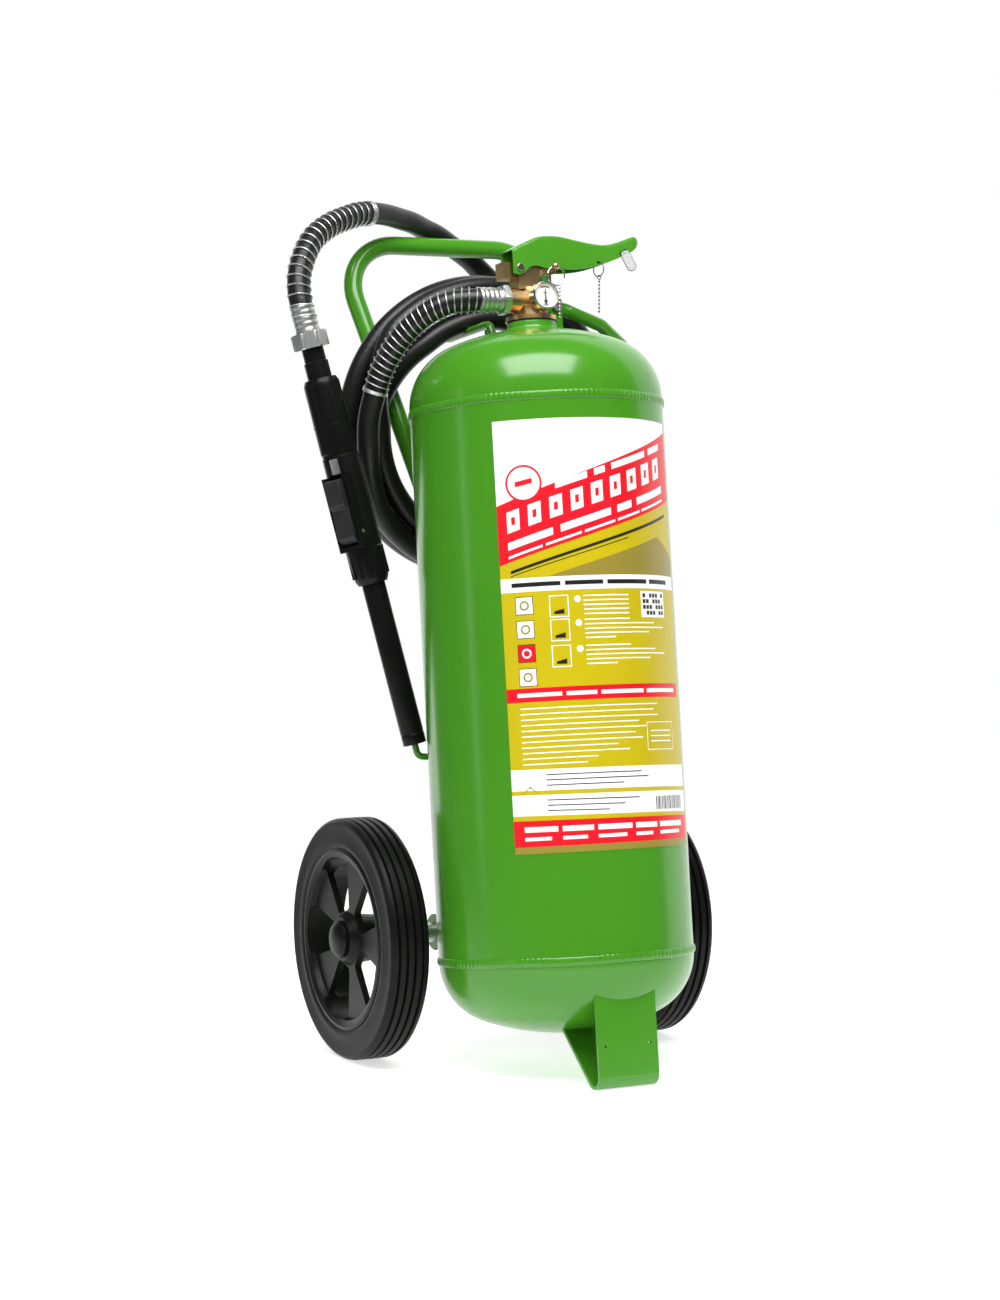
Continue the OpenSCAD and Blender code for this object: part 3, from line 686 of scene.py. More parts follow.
def wrapped_rubber(name: str, colour: Colour, turns_per_metre: float) -> bpy.types.Material:
    """Hose rubber, with the faint spiral that the wrapping cloth leaves in it.

    The spiral is a wave along length * turns + angle, both from the hose's UV map.

    Args:
        name: the material's name.
        colour: its colour.
        turns_per_metre: how close the spiral is wound.

    Returns:
        The material.
    """
    made, nodes, links = blank(name)
    spiral = nodes.new("NodeFrame")
    spiral.label = "Cloth wrap spiral"
    spiral.location = (-1100, 200)
    dust = nodes.new("NodeFrame")
    dust.label = "Dusty bloom"
    dust.location = (-1100, -250)
    where = nodes.new("ShaderNodeTexCoord")
    where.label = "Length and angle"
    where.location = (-1350, 0)
    stretch = nodes.new("ShaderNodeMapping")
    stretch.label = "Turns to the metre"
    stretch.parent = spiral
    stretch.location = (0, 0)
    stretch.inputs["Scale"].default_value = (turns_per_metre, 1.0, 1.0)
    wave = nodes.new("ShaderNodeTexWave")
    wave.label = "Ridges"
    wave.parent = spiral
    wave.location = (200, 0)
    wave.bands_direction = "DIAGONAL"
    wave.inputs["Scale"].default_value = 0.5
    wave.inputs["Distortion"].default_value = 0.4
    wave.inputs["Detail"].default_value = 1.0
    relief = nodes.new("ShaderNodeBump")
    relief.label = "Relief of the ridges"
    relief.parent = spiral
    relief.location = (400, 0)
    relief.inputs["Strength"].default_value = 0.10
    relief.inputs["Distance"].default_value = 0.0006
    bloom = nodes.new("ShaderNodeTexNoise")
    bloom.label = "Bloom"
    bloom.parent = dust
    bloom.location = (0, 0)
    bloom.inputs["Scale"].default_value = 28.0
    bloom.inputs["Detail"].default_value = 5.0
    gloss = nodes.new("ShaderNodeMapRange")
    gloss.label = "Gloss range"
    gloss.parent = dust
    gloss.location = (200, 0)
    gloss.inputs["To Min"].default_value = 0.30
    gloss.inputs["To Max"].default_value = 0.46
    shader = nodes.new("ShaderNodeBsdfPrincipled")
    shader.label = "Rubber"
    shader.location = (-300, 100)
    shader.inputs["Specular IOR Level"].default_value = 0.4
    shader.inputs["Base Color"].default_value = (*colour, 1)
    output = nodes.new("ShaderNodeOutputMaterial")
    output.label = "Surface"
    output.location = (0, 100)
    links.new(where.outputs["UV"], stretch.inputs["Vector"])
    links.new(stretch.outputs["Vector"], wave.inputs["Vector"])
    links.new(wave.outputs["Fac"], relief.inputs["Height"])
    links.new(where.outputs["Object"], bloom.inputs["Vector"])
    links.new(bloom.outputs["Fac"], gloss.inputs["Value"])
    links.new(gloss.outputs["Result"], shader.inputs["Roughness"])
    links.new(relief.outputs["Normal"], shader.inputs["Normal"])
    links.new(shader.outputs["BSDF"], output.inputs["Surface"])
    return made


def printed(name: str, roughness: float) -> bpy.types.Material:
    """Printed film: the colour comes from the mesh's own attribute "ink".

    Args:
        name: the material's name.
        roughness: its gloss.

    Returns:
        The material.
    """
    made, nodes, links = blank(name)
    print_frame = nodes.new("NodeFrame")
    print_frame.label = "Inks"
    print_frame.location = (-900, 200)
    film = nodes.new("NodeFrame")
    film.label = "Waviness of the film"
    film.location = (-900, -150)
    ink = nodes.new("ShaderNodeAttribute")
    ink.label = "Ink of each patch"
    ink.parent = print_frame
    ink.location = (0, 0)
    ink.attribute_name = "ink"
    where = nodes.new("ShaderNodeTexCoord")
    where.label = "Place on the object"
    where.location = (-1150, 0)
    cloud = nodes.new("ShaderNodeTexNoise")
    cloud.label = "Uneven inking"
    cloud.parent = print_frame
    cloud.location = (0, -180)
    cloud.inputs["Scale"].default_value = 14.0
    shade = nodes.new("ShaderNodeMapRange")
    shade.label = "Strength of the ink"
    shade.parent = print_frame
    shade.location = (200, -180)
    shade.inputs["To Min"].default_value = 0.95
    shade.inputs["To Max"].default_value = 1.03
    tint = nodes.new("ShaderNodeVectorMath")
    tint.label = "Shaded ink"
    tint.parent = print_frame
    tint.location = (400, 0)
    tint.operation = "SCALE"
    ripple = nodes.new("ShaderNodeTexNoise")
    ripple.label = "Ripple"
    ripple.parent = film
    ripple.location = (0, 0)
    ripple.inputs["Scale"].default_value = 22.0
    relief = nodes.new("ShaderNodeBump")
    relief.label = "Relief of the ripple"
    relief.parent = film
    relief.location = (200, 0)
    relief.inputs["Strength"].default_value = 0.06
    relief.inputs["Distance"].default_value = 0.001
    shader = nodes.new("ShaderNodeBsdfPrincipled")
    shader.label = "Film"
    shader.location = (-200, 100)
    shader.inputs["Roughness"].default_value = roughness
    output = nodes.new("ShaderNodeOutputMaterial")
    output.label = "Surface"
    output.location = (120, 100)
    links.new(where.outputs["Object"], cloud.inputs["Vector"])
    links.new(where.outputs["Object"], ripple.inputs["Vector"])
    links.new(cloud.outputs["Fac"], shade.inputs["Value"])
    links.new(ink.outputs["Color"], tint.inputs[0])
    links.new(shade.outputs["Result"], tint.inputs["Scale"])
    links.new(tint.outputs["Vector"], shader.inputs["Base Color"])
    links.new(ripple.outputs["Fac"], relief.inputs["Height"])
    links.new(relief.outputs["Normal"], shader.inputs["Normal"])
    links.new(shader.outputs["BSDF"], output.inputs["Surface"])
    return made


def see_through(name: str, colour: Colour, clear: float, roughness: float,
                grain: float) -> bpy.types.Material:
    """Clear or milky plastic.

    Args:
        name: the material's name.
        colour: its colour.
        clear: how much light goes through, from 0 to 1.
        roughness: its gloss.
        grain: scale of its faint surface marks.

    Returns:
        The material.
    """
    made, nodes, links = blank(name)
    marks = nodes.new("NodeFrame")
    marks.label = "Handling marks"
    marks.location = (-800, 0)
    where = nodes.new("ShaderNodeTexCoord")
    where.label = "Place on the object"
    where.location = (-1050, 0)
    smear = nodes.new("ShaderNodeTexNoise")
    smear.label = "Smears"
    smear.parent = marks
    smear.location = (0, 0)
    smear.inputs["Scale"].default_value = grain
    gloss = nodes.new("ShaderNodeMapRange")
    gloss.label = "Gloss range"
    gloss.parent = marks
    gloss.location = (200, 0)
    gloss.inputs["To Min"].default_value = roughness
    gloss.inputs["To Max"].default_value = roughness + 0.08
    shader = nodes.new("ShaderNodeBsdfPrincipled")
    shader.label = "Plastic"
    shader.location = (-250, 100)
    shader.inputs["Base Color"].default_value = (*colour, 1)
    shader.inputs["Transmission Weight"].default_value = clear
    shader.inputs["Alpha"].default_value = 1 - 0.8 * clear
    shader.inputs["IOR"].default_value = 1.49
    output = nodes.new("ShaderNodeOutputMaterial")
    output.label = "Surface"
    output.location = (80, 100)
    links.new(where.outputs["Object"], smear.inputs["Vector"])
    links.new(smear.outputs["Fac"], gloss.inputs["Value"])
    links.new(gloss.outputs["Result"], shader.inputs["Roughness"])
    links.new(shader.outputs["BSDF"], output.inputs["Surface"])
    return made


def floor_finish(radius: float) -> bpy.types.Material:
    """Pale studio floor that fades out into the white surround towards its rim.

    Args:
        radius: where it has faded out, from the origin.

    Returns:
        The material.
    """
    made, nodes, links = blank("studio_floor")
    fade = nodes.new("NodeFrame")
    fade.label = "Fade towards the rim"
    fade.location = (-900, 0)
    where = nodes.new("ShaderNodeTexCoord")
    where.label = "Place on the floor"
    where.location = (-1150, 0)
    reach = nodes.new("ShaderNodeVectorMath")
    reach.label = "Distance from the middle"
    reach.parent = fade
    reach.location = (0, 0)
    reach.operation = "LENGTH"
    share = nodes.new("ShaderNodeMapRange")
    share.label = "Share of floor"
    share.parent = fade
    share.location = (200, 0)
    share.interpolation_type = "SMOOTHSTEP"
    share.inputs["From Min"].default_value = radius * 0.35
    share.inputs["From Max"].default_value = radius
    share.inputs["To Min"].default_value = 1.0
    share.inputs["To Max"].default_value = 0.0
    surface = nodes.new("ShaderNodeBsdfPrincipled")
    surface.label = "Pale paper"
    surface.location = (-400, -150)
    surface.inputs["Base Color"].default_value = (0.86, 0.87, 0.86, 1)
    surface.inputs["Roughness"].default_value = 0.6
    surface.inputs["Emission Color"].default_value = (1, 1, 1, 1)
    surface.inputs["Emission Strength"].default_value = 0.62
    gone = nodes.new("ShaderNodeBsdfTransparent")
    gone.label = "Nothing"
    gone.location = (-400, 100)
    mixed = nodes.new("ShaderNodeMixShader")
    mixed.label = "Floor into surround"
    mixed.location = (-150, 0)
    output = nodes.new("ShaderNodeOutputMaterial")
    output.label = "Surface"
    output.location = (80, 0)
    links.new(where.outputs["Object"], reach.inputs[0])
    links.new(reach.outputs["Value"], share.inputs["Value"])
    links.new(share.outputs["Result"], mixed.inputs["Fac"])
    links.new(gone.outputs["BSDF"], mixed.inputs[1])
    links.new(surface.outputs["BSDF"], mixed.inputs[2])
    links.new(mixed.outputs["Shader"], output.inputs["Surface"])
    return made


class Finishes:
    """Every finish of the object, made once."""

    def __init__(self) -> None:
        """Makes the materials."""
        self.paint = coated(Coating(
            "green_paint", (0.052, 0.240, 0.011), variation=0.04, patch=6,
            roughness=0.2, rough_spread=0.04, grain=160, bump=0.04))
        self.tyre = coated(Coating(
            "tyre_rubber", (0.006, 0.006, 0.006), variation=0.2, patch=30,
            roughness=0.42, rough_spread=0.08, grain=500, bump=0.25, specular=0.12))
        self.rim = coated(Coating(
            "rim_plastic", (0.006, 0.006, 0.006), variation=0.1, patch=20,
            roughness=0.34, rough_spread=0.06, grain=800, bump=0.15, specular=0.15))
        self.gun = coated(Coating(
            "gun_plastic", (0.005, 0.005, 0.005), variation=0.1, patch=30,
            roughness=0.3, rough_spread=0.05, grain=900, bump=0.1, specular=0.14))
        self.trigger = coated(Coating(
            "trigger_plastic", (0.020, 0.020, 0.021), variation=0.1, patch=30,
            roughness=0.4, rough_spread=0.06, grain=900, bump=0.1, specular=0.2))
        self.nylon = coated(Coating(
            "bush_nylon", (0.7, 0.69, 0.64), variation=0.05, patch=40,
            roughness=0.5, rough_spread=0.08, grain=500, bump=0.1))
        self.seal = coated(Coating(
            "seal_plastic", (0.02, 0.16, 0.03), variation=0.1, patch=60,
            roughness=0.4, rough_spread=0.08, grain=600, bump=0.1))
        self.needle = coated(Coating(
            "needle_black", (0.012, 0.012, 0.012), variation=0.1, patch=90,
            roughness=0.4, rough_spread=0.05, grain=500, bump=0.05))
        self.rubber = coated(Coating(
            "seal_rubber", (0.015, 0.015, 0.015), variation=0.2, patch=60,
            roughness=0.6, rough_spread=0.08, grain=500, bump=0.2))
        self.hose = wrapped_rubber("hose_rubber", (0.007, 0.007, 0.007), turns_per_metre=160)
        self.zinc = metallic(Metal(
            "zinc_plate", (0.70, 0.71, 0.70), (0.44, 0.46, 0.45), amount=0.6,
            roughness=0.4, rough_spread=0.1, patch=90))
        self.brass = metallic(Metal(
            "brass", (0.72, 0.50, 0.24), (0.42, 0.27, 0.12), amount=0.6,
            roughness=0.32, rough_spread=0.12, patch=70, grain=500, bump=0.12))
        self.chrome = metallic(Metal(
            "chrome", (0.80, 0.78, 0.76), (0.60, 0.54, 0.50), amount=0.5,
            roughness=0.13, rough_spread=0.06, patch=60))
        self.dark = metallic(Metal(
            "chain_steel", (0.20, 0.20, 0.21), (0.08, 0.08, 0.08), amount=0.6,
            roughness=0.3, rough_spread=0.1, patch=300))
        self.silver = metallic(Metal(
            "sticker_silver", (0.66, 0.67, 0.68), (0.5, 0.5, 0.52), amount=0.4,
            roughness=0.36, rough_spread=0.08, patch=120))
        self.label = printed("label_film", roughness=0.36)
        self.dial = printed("dial_print", roughness=0.5)
        self.lens = see_through("lens", (1, 1, 1), clear=0.95, roughness=0.02, grain=60)
        self.tag = see_through("tag_plastic", (0.60, 0.61, 0.64), clear=0.25, roughness=0.3,
                               grain=200)


# ---------- studio ----------

@dataclass(frozen=True)
class Softbox:
    """A flat area light: place, aim, size and power, and whether gloss mirrors it."""

    name: str
    at: tuple[float, float, float]
    to: tuple[float, float, float]
    width: float
    height: float
    watts: float
    mirrored: bool = True


class Studio:
    """Camera, lights, surround and floor."""

    CAMERA = (-1.6527, -3.1347, 0.6718)
    HEADING, PITCH, LENS, SENSOR = -27.767, -3.048, 80.7, 36.0
    FLOOR_R = 2.4
    LIGHTS = (
        Softbox("Overhead", (-0.5, -1.1, 2.6), (0, 0.0, 0.8), 2.1, 1.5, 92),
        Softbox("Front left", (-2.9, -1.6, 1.5), (0, 0, 0.6), 0.8, 1.8, 22, False),
        Softbox("Front right", (1.5, -3.0, 1.4), (0, 0, 0.5), 1.2, 1.6, 19, False),
        Softbox("Left rear strip", (-0.95, 2.85, 0.5), (0, 0, 0.5), 0.35, 2.6, 5),
        Softbox("Left front strip", (-3.2, 0.5, 0.9), (0, 0, 0.7), 0.25, 1.6, 2.5),
    )

    def build(self) -> None:
        """Makes everything that isn't the object."""
        self._camera()
        self._surround()
        for light in self.LIGHTS:
            self._softbox(light)
        self._floor()
        bpy.context.scene.view_settings.view_transform = "Standard"

    def _camera(self) -> None:
        """The camera, for a frame of 1000 by 1300."""
        data = bpy.data.cameras.new("Camera")
        data.lens, data.sensor_width, data.sensor_fit = self.LENS, self.SENSOR, "AUTO"
        camera = bpy.data.objects.new("Camera", data)
        bpy.context.scene.collection.objects.link(camera)
        camera.location = self.CAMERA
        camera.rotation_euler = (math.radians(90 + self.PITCH), 0, math.radians(self.HEADING))
        bpy.context.scene.camera = camera

    def _surround(self) -> None:
        """White to the camera; as light, bright behind the object and dim in front of it."""
        world = bpy.data.worlds.new("Surround")
        bpy.context.scene.world = world
        world.use_nodes = True
        nodes, links = world.node_tree.nodes, world.node_tree.links
        nodes.clear()
        glow = nodes.new("NodeFrame")
        glow.label = "Light from each side"
        glow.location = (-1000, 0)
        where = nodes.new("ShaderNodeTexCoord")
        where.label = "Direction"
        where.location = (-1250, 0)
        facing = nodes.new("ShaderNodeVectorMath")
        facing.label = "How far behind it, to the right"
        facing.parent = glow
        facing.location = (0, 0)
        facing.operation = "DOT_PRODUCT"
        facing.inputs[1].default_value = (0.7071, 0.7071, 0.0)
        ramp = nodes.new("ShaderNodeValToRGB")
        ramp.label = "Front to back"
        ramp.parent = glow
        ramp.location = (200, 0)
        ramp.color_ramp.elements[0].position = 0.49
        ramp.color_ramp.elements[0].color = (0.07, 0.07, 0.07, 1)
        ramp.color_ramp.elements[1].position = 0.56
        ramp.color_ramp.elements[1].color = (1.0, 1.0, 1.0, 1)
        light = nodes.new("ShaderNodeBackground")
        light.label = "Light on the object"
        light.location = (-450, 0)
        light.inputs["Strength"].default_value = 1.3
        white = nodes.new("ShaderNodeBackground")
        white.label = "White surround"
        white.location = (-450, 150)
        white.inputs["Color"].default_value = (1, 1, 1, 1)
        ray = nodes.new("ShaderNodeLightPath")
        ray.label = "Seen or lighting"
        ray.location = (-450, 450)
        pick = nodes.new("ShaderNodeMixShader")
        pick.label = "Seen as white"
        pick.location = (-200, 0)
        output = nodes.new("ShaderNodeOutputWorld")
        output.label = "Surround"
        output.location = (0, 0)
        links.new(where.outputs["Generated"], facing.inputs[0])
        links.new(facing.outputs["Value"], ramp.inputs["Fac"])
        links.new(ramp.outputs["Color"], light.inputs["Color"])
        links.new(ray.outputs["Is Camera Ray"], pick.inputs["Fac"])
        links.new(light.outputs["Background"], pick.inputs[1])
        links.new(white.outputs["Background"], pick.inputs[2])
        links.new(pick.outputs["Shader"], output.inputs["Surface"])

    def _softbox(self, light: Softbox) -> None:
        """One area light that faces its target.

        Args:
            light: its numbers.
        """
        data = bpy.data.lights.new(light.name, "AREA")
        data.shape, data.energy = "RECTANGLE", light.watts
        data.size, data.size_y = light.width, light.height
        lamp = bpy.data.objects.new(light.name, data)
        bpy.context.scene.collection.objects.link(lamp)
        lamp.location = light.at
        lamp.visible_glossy = light.mirrored
        aim = Vector(light.to) - Vector(light.at)
        lamp.rotation_euler = aim.to_track_quat("-Z", "Y").to_euler()

    def _floor(self) -> None:
        """A round floor, drawn as rings about the origin."""
        radii = np.linspace(0.0, self.FLOOR_R, 13)
        place = Place(np.eye(3), np.zeros(3))
        rings = np.stack([radii, 0 * radii], -1)[::-1]
        floor = grids_to_mesh("studio_floor", [lathe(rings, place, 96)])
        floor.data.materials.append(floor_finish(self.FLOOR_R))


# ---------- hose ----------

@dataclass(frozen=True)
class HoseSizes:
    """The hose, its hung coil and its wire guards."""

    across: float = 0.027
    guard_across: float = 0.031
    wire: float = 0.0018
    lead_root: tuple[float, float, float] = (-0.042, 0, 0.888)
    tail_root: tuple[float, float, float] = (-0.246, 0.1, 0.864)
    coil_centre: tuple[float, float, float] = (0, 0.145, 0.757)
    coil_tilt: float = 12.4


class HoseLine:
    """One hose from the valve, three and a third turns of coil and up to the gun."""

    # millimetres, in the cylinder's upright place
    LEAD = [(-62, 2, 888), (-78, 7, 888), (-98, 17, 886), (-118, 31, 877), (-136, 48, 861),
            (-150, 63, 841), (-161, 79, 815), (-167, 92, 787), (-171, 103, 757), (-169, 112, 724),
            (-160, 128, 692), (-144, 146, 661), (-129, 154, 642)]
    TAIL = [(168, 166, 735), (171, 164, 768), (168, 174, 803), (158, 195, 840), (143, 215, 873),
            (125, 231, 903), (108, 239, 931), (93, 243, 946), (78, 246, 961), (62, 247, 976),
            (48, 246, 988), (24, 243, 1002), (2, 237, 1013), (-20, 229, 1019), (-43, 217, 1024),
            (-66, 206, 1026), (-87, 195, 1027), (-109, 184, 1026), (-136, 171, 1021),
            (-154, 162, 1015), (-187, 146, 1001), (-217, 130, 981), (-235, 119, 960),
            (-246, 111, 940), (-251, 107, 925), (-253, 103, 907), (-252, 100, 892),
            (-250, 100, 883)]
    # the coil's angle in degrees, its radius and its place across the coil
    LAY = [(229, 171.5, 12.3), (500, 171.5, 12.3), (540, 142.5, 12.3), (700, 142.5, 12.3),
           (790, 135, 12.3), (850, 130, 5), (900, 139, -15.5), (940, 142.5, -15.5),
           (1100, 142.5, -15.5), (1150, 171.5, -15.5), (1420, 171.5, -15.5)]

    def __init__(self, finish: Finishes, sizes: HoseSizes = HoseSizes()) -> None:
        """Keeps the finishes and sizes."""
        self.finish, self.sizes = finish, sizes

    def coil(self) -> Array:
        """Centre line of the coil.

        point = centre + radius * (cos a across + sin a up) in the coil's leaned
        plane, less layer * the plane's normal; radius and layer follow LAY.

        Returns:
            The points, in the cylinder's upright place.
        """
        lay = np.array(self.LAY)
        a = np.linspace(lay[0, 0], lay[-1, 0], 120)
        radius = np.interp(a, lay[:, 0], lay[:, 1])[:, None] / 1000
        layer = np.interp(a, lay[:, 0], lay[:, 2])[:, None] / 1000
        turn = turn_about(0, self.sizes.coil_tilt)
        c, s = np.cos(np.radians(a))[:, None], np.sin(np.radians(a))[:, None]
        flat = c * turn[:, 0] + s * turn[:, 2]
        return self.sizes.coil_centre + radius * flat - layer * turn[:, 1]

    def build(self) -> None:
        """Makes the hose and its guards."""
        lead, tail = np.array(self.LEAD) / 1000, np.array(self.TAIL) / 1000
        line = CYLINDER.put(spline(np.vstack([lead, self.coil(), tail]), 5))
        rings = tube(line, self.sizes.across / 2, 24)
        along = np.concatenate([[0], length_along(line), [length_along(line)[-1]]])
        around = np.linspace(0, 1, 25)
        uv = np.stack(np.broadcast_arrays(along[:, None], around[None]), -1)
        hose = grids_to_mesh("hose", [rings], uvs=[uv])
        fit_out(hose, BODY, "hose_rubber", self.finish.hose, "hose_lead", "hose_coil", "hose_tail")
        lead_route = np.vstack([[self.sizes.lead_root], lead])
        tail_route = np.vstack([tail, [self.sizes.tail_root]])
        guards = [self._guard("lead_wire_guard", "lead_guard", lead_route, 0.02, 0.55, 24),
                  self._guard("tail_wire_guard", "tail_guard", tail_route, 0.665, 0.985, 21)]

    def _guard(self, name: str, node: str, route: Array, start: float, end: float,
               turns: int) -> bpy.types.Object:
        """A wire guard along part of a route, closely wound at its free end.

        Args:
            name: the piece's name.
            node: the CAD node that it stands for.
            route: the hose's route, up to its root in the ferrule.
            start: where the guard starts, as a share of the route.
            end: where it ends.
            turns: number of turns.

        Returns:
            The guard.
        """
        whole = evenly(spline(route, 8), 400)
        last = len(whole) - 1
        part = CYLINDER.put(whole[int(start * last):int(end * last)])
        coil_r = (self.sizes.guard_across - self.sizes.wire) / 2
        tip = part[-5:] if node == "lead_guard" else part[:5]
        grids = [helix_wire(part, coil_r, turns, self.sizes.wire / 2),
                 helix_wire(tip, coil_r, 3, self.sizes.wire / 2)]
        return fit_out(grids_to_mesh(name, grids), BODY, "zinc_plate", self.finish.zinc, node)


# ---------- cylinder ----------

@dataclass(frozen=True)
class VesselSizes:
    """The pressure vessel, in metres."""

    radius: float = 0.150
    seam_low: float = 0.114
    seam_high: float = 0.756
    flange_low: float = 0.0015
    flange_high: float = 0.0075
    knuckle: float = 0.075
    crown: float = 0.280
    neck_r: float = 0.030
    neck_top: float = 0.861
    flare: float = 0.006
    mouth_r: float = 0.0236
    mouth_depth: float = 0.012
    bead: float = 0.0053
    bead_height: float = 0.002


class Vessel:
    """Shell, domes, neck, weld beads and the front foot."""

    def __init__(self, finish: Finishes, sizes: VesselSizes = VesselSizes()) -> None:
        """Keeps the finishes and sizes."""
        self.finish, self.sizes = finish, sizes

    def _dome(self, flange: float, stop: float) -> Array:
        """A dome's outline above its seam: a knuckle arc that runs into a crown arc.

        The arcs meet where cos a = (radius - knuckle) / (crown - knuckle).

        Args:
            flange: height of the straight part above the seam.
            stop: radius at which the crown ends.

        Returns:
            Its (radius, height) points, from outside to inside.
        """
        s = self.sizes
        join = math.degrees(math.acos((s.radius - s.knuckle) / (s.crown - s.knuckle)))
        crown_at = flange - (s.crown - s.knuckle) * math.sin(math.radians(join))
        end = math.degrees(math.acos(stop / s.crown))
        return np.vstack([arc((s.radius - s.knuckle, flange), s.knuckle, 0, join, 22),
                          arc((0, crown_at), s.crown, join, end, 14)[1:]])

    def build(self) -> None:
        """Makes the cylinder's pieces."""
        s = self.sizes
        top = self._dome(s.flange_high, s.neck_r + s.flare) + [0, s.seam_high]
        low = self._dome(s.flange_low, 1e-9) * [1, -1] + [0, s.seam_low]
        foot_z = top[-1, 1]
        flare_top, floor_z = (s.neck_r, foot_z + s.flare), s.neck_top - s.mouth_depth
        pulls = (s.neck_r + 0.002, foot_z + 0.0008), (s.neck_r, foot_z + 0.002)
        flare = bezier(top[-1], *pulls, flare_top, 6)
        rim = soften([flare_top, (s.neck_r, s.neck_top), (s.mouth_r, s.neck_top)], 0.001, 3)
        neck = np.vstack([flare[1:], rim[1:], [(s.mouth_r, floor_z), (0, floor_z)]])
        wall = np.stack([np.full(12, s.radius), np.linspace(s.seam_low, s.seam_high, 12)], -1)
        outline = np.vstack([low[::-1], wall, top, neck])
        vessel = grids_to_mesh("vessel", [lathe(outline, CYLINDER, 192)])
        fit_out(vessel, BODY, "green_paint", self.finish.paint,
                "shell", "top_dome", "bottom_dome", "neck_ring")
        beads = grids_to_mesh("girth_welds", [self._bead(z) for z in (s.seam_low, s.seam_high)], 60)
        fit_out(beads, BODY, "green_paint", self.finish.paint, "weld_beads")
        foot = eased_copy("foot", "front_foot", 0.0007)
        fit_out(foot, BODY, "green_paint", self.finish.paint, "foot")
        paint_node(self.finish.zinc, "dip_tube")
        paint_node(self.finish.rubber, "neck_seal")

    def _bead(self, height: float) -> Array:
        """A weld bead: a low arch on the wall, whose height ripples round the seam.

        radius = wall + arch * (1 + 0.16 * sin 150 a + 0.08 * sin(41 a + 1)), and its
        middle wanders up and down by 0.4 mm as sin 7 a.

        Args:
            height: the seam's height.

        Returns:
            The bead's grid of points.
        """
        s = self.sizes
        a = np.linspace(0, 2 * np.pi, 901)[None]
        t = np.linspace(-1, 1, 11)[:, None]
        arch = s.bead_height * np.sqrt(1 - t ** 2)
        r = s.radius - 0.0003 + arch * (1 + 0.16 * np.sin(150 * a) + 0.08 * np.sin(41 * a + 1))
        z = height + s.bead * t + 0.0004 * np.sin(7 * a)
        return CYLINDER.put(np.stack([r * np.cos(a), r * np.sin(a), z + 0 * r], -1))


class Ink(Enum):
    """The inks of the printed wrap and of the gauge's face."""

    WHITE = srgb(246, 246, 244)
    RED = srgb(222, 12, 32)
    MUSTARD = srgb(190, 172, 4)
    OLIVE = srgb(143, 128, 48)
    BLACK = srgb(25, 25, 25)
    GREEN = srgb(40, 150, 50)


@dataclass(frozen=True)
class LabelSizes:
    """The printed wrap round the front of the cylinder."""

    radius: float = 0.1505
    span: float = 97.0
    top: float = 0.728
    height: float = 0.492
    layer: float = 0.00003


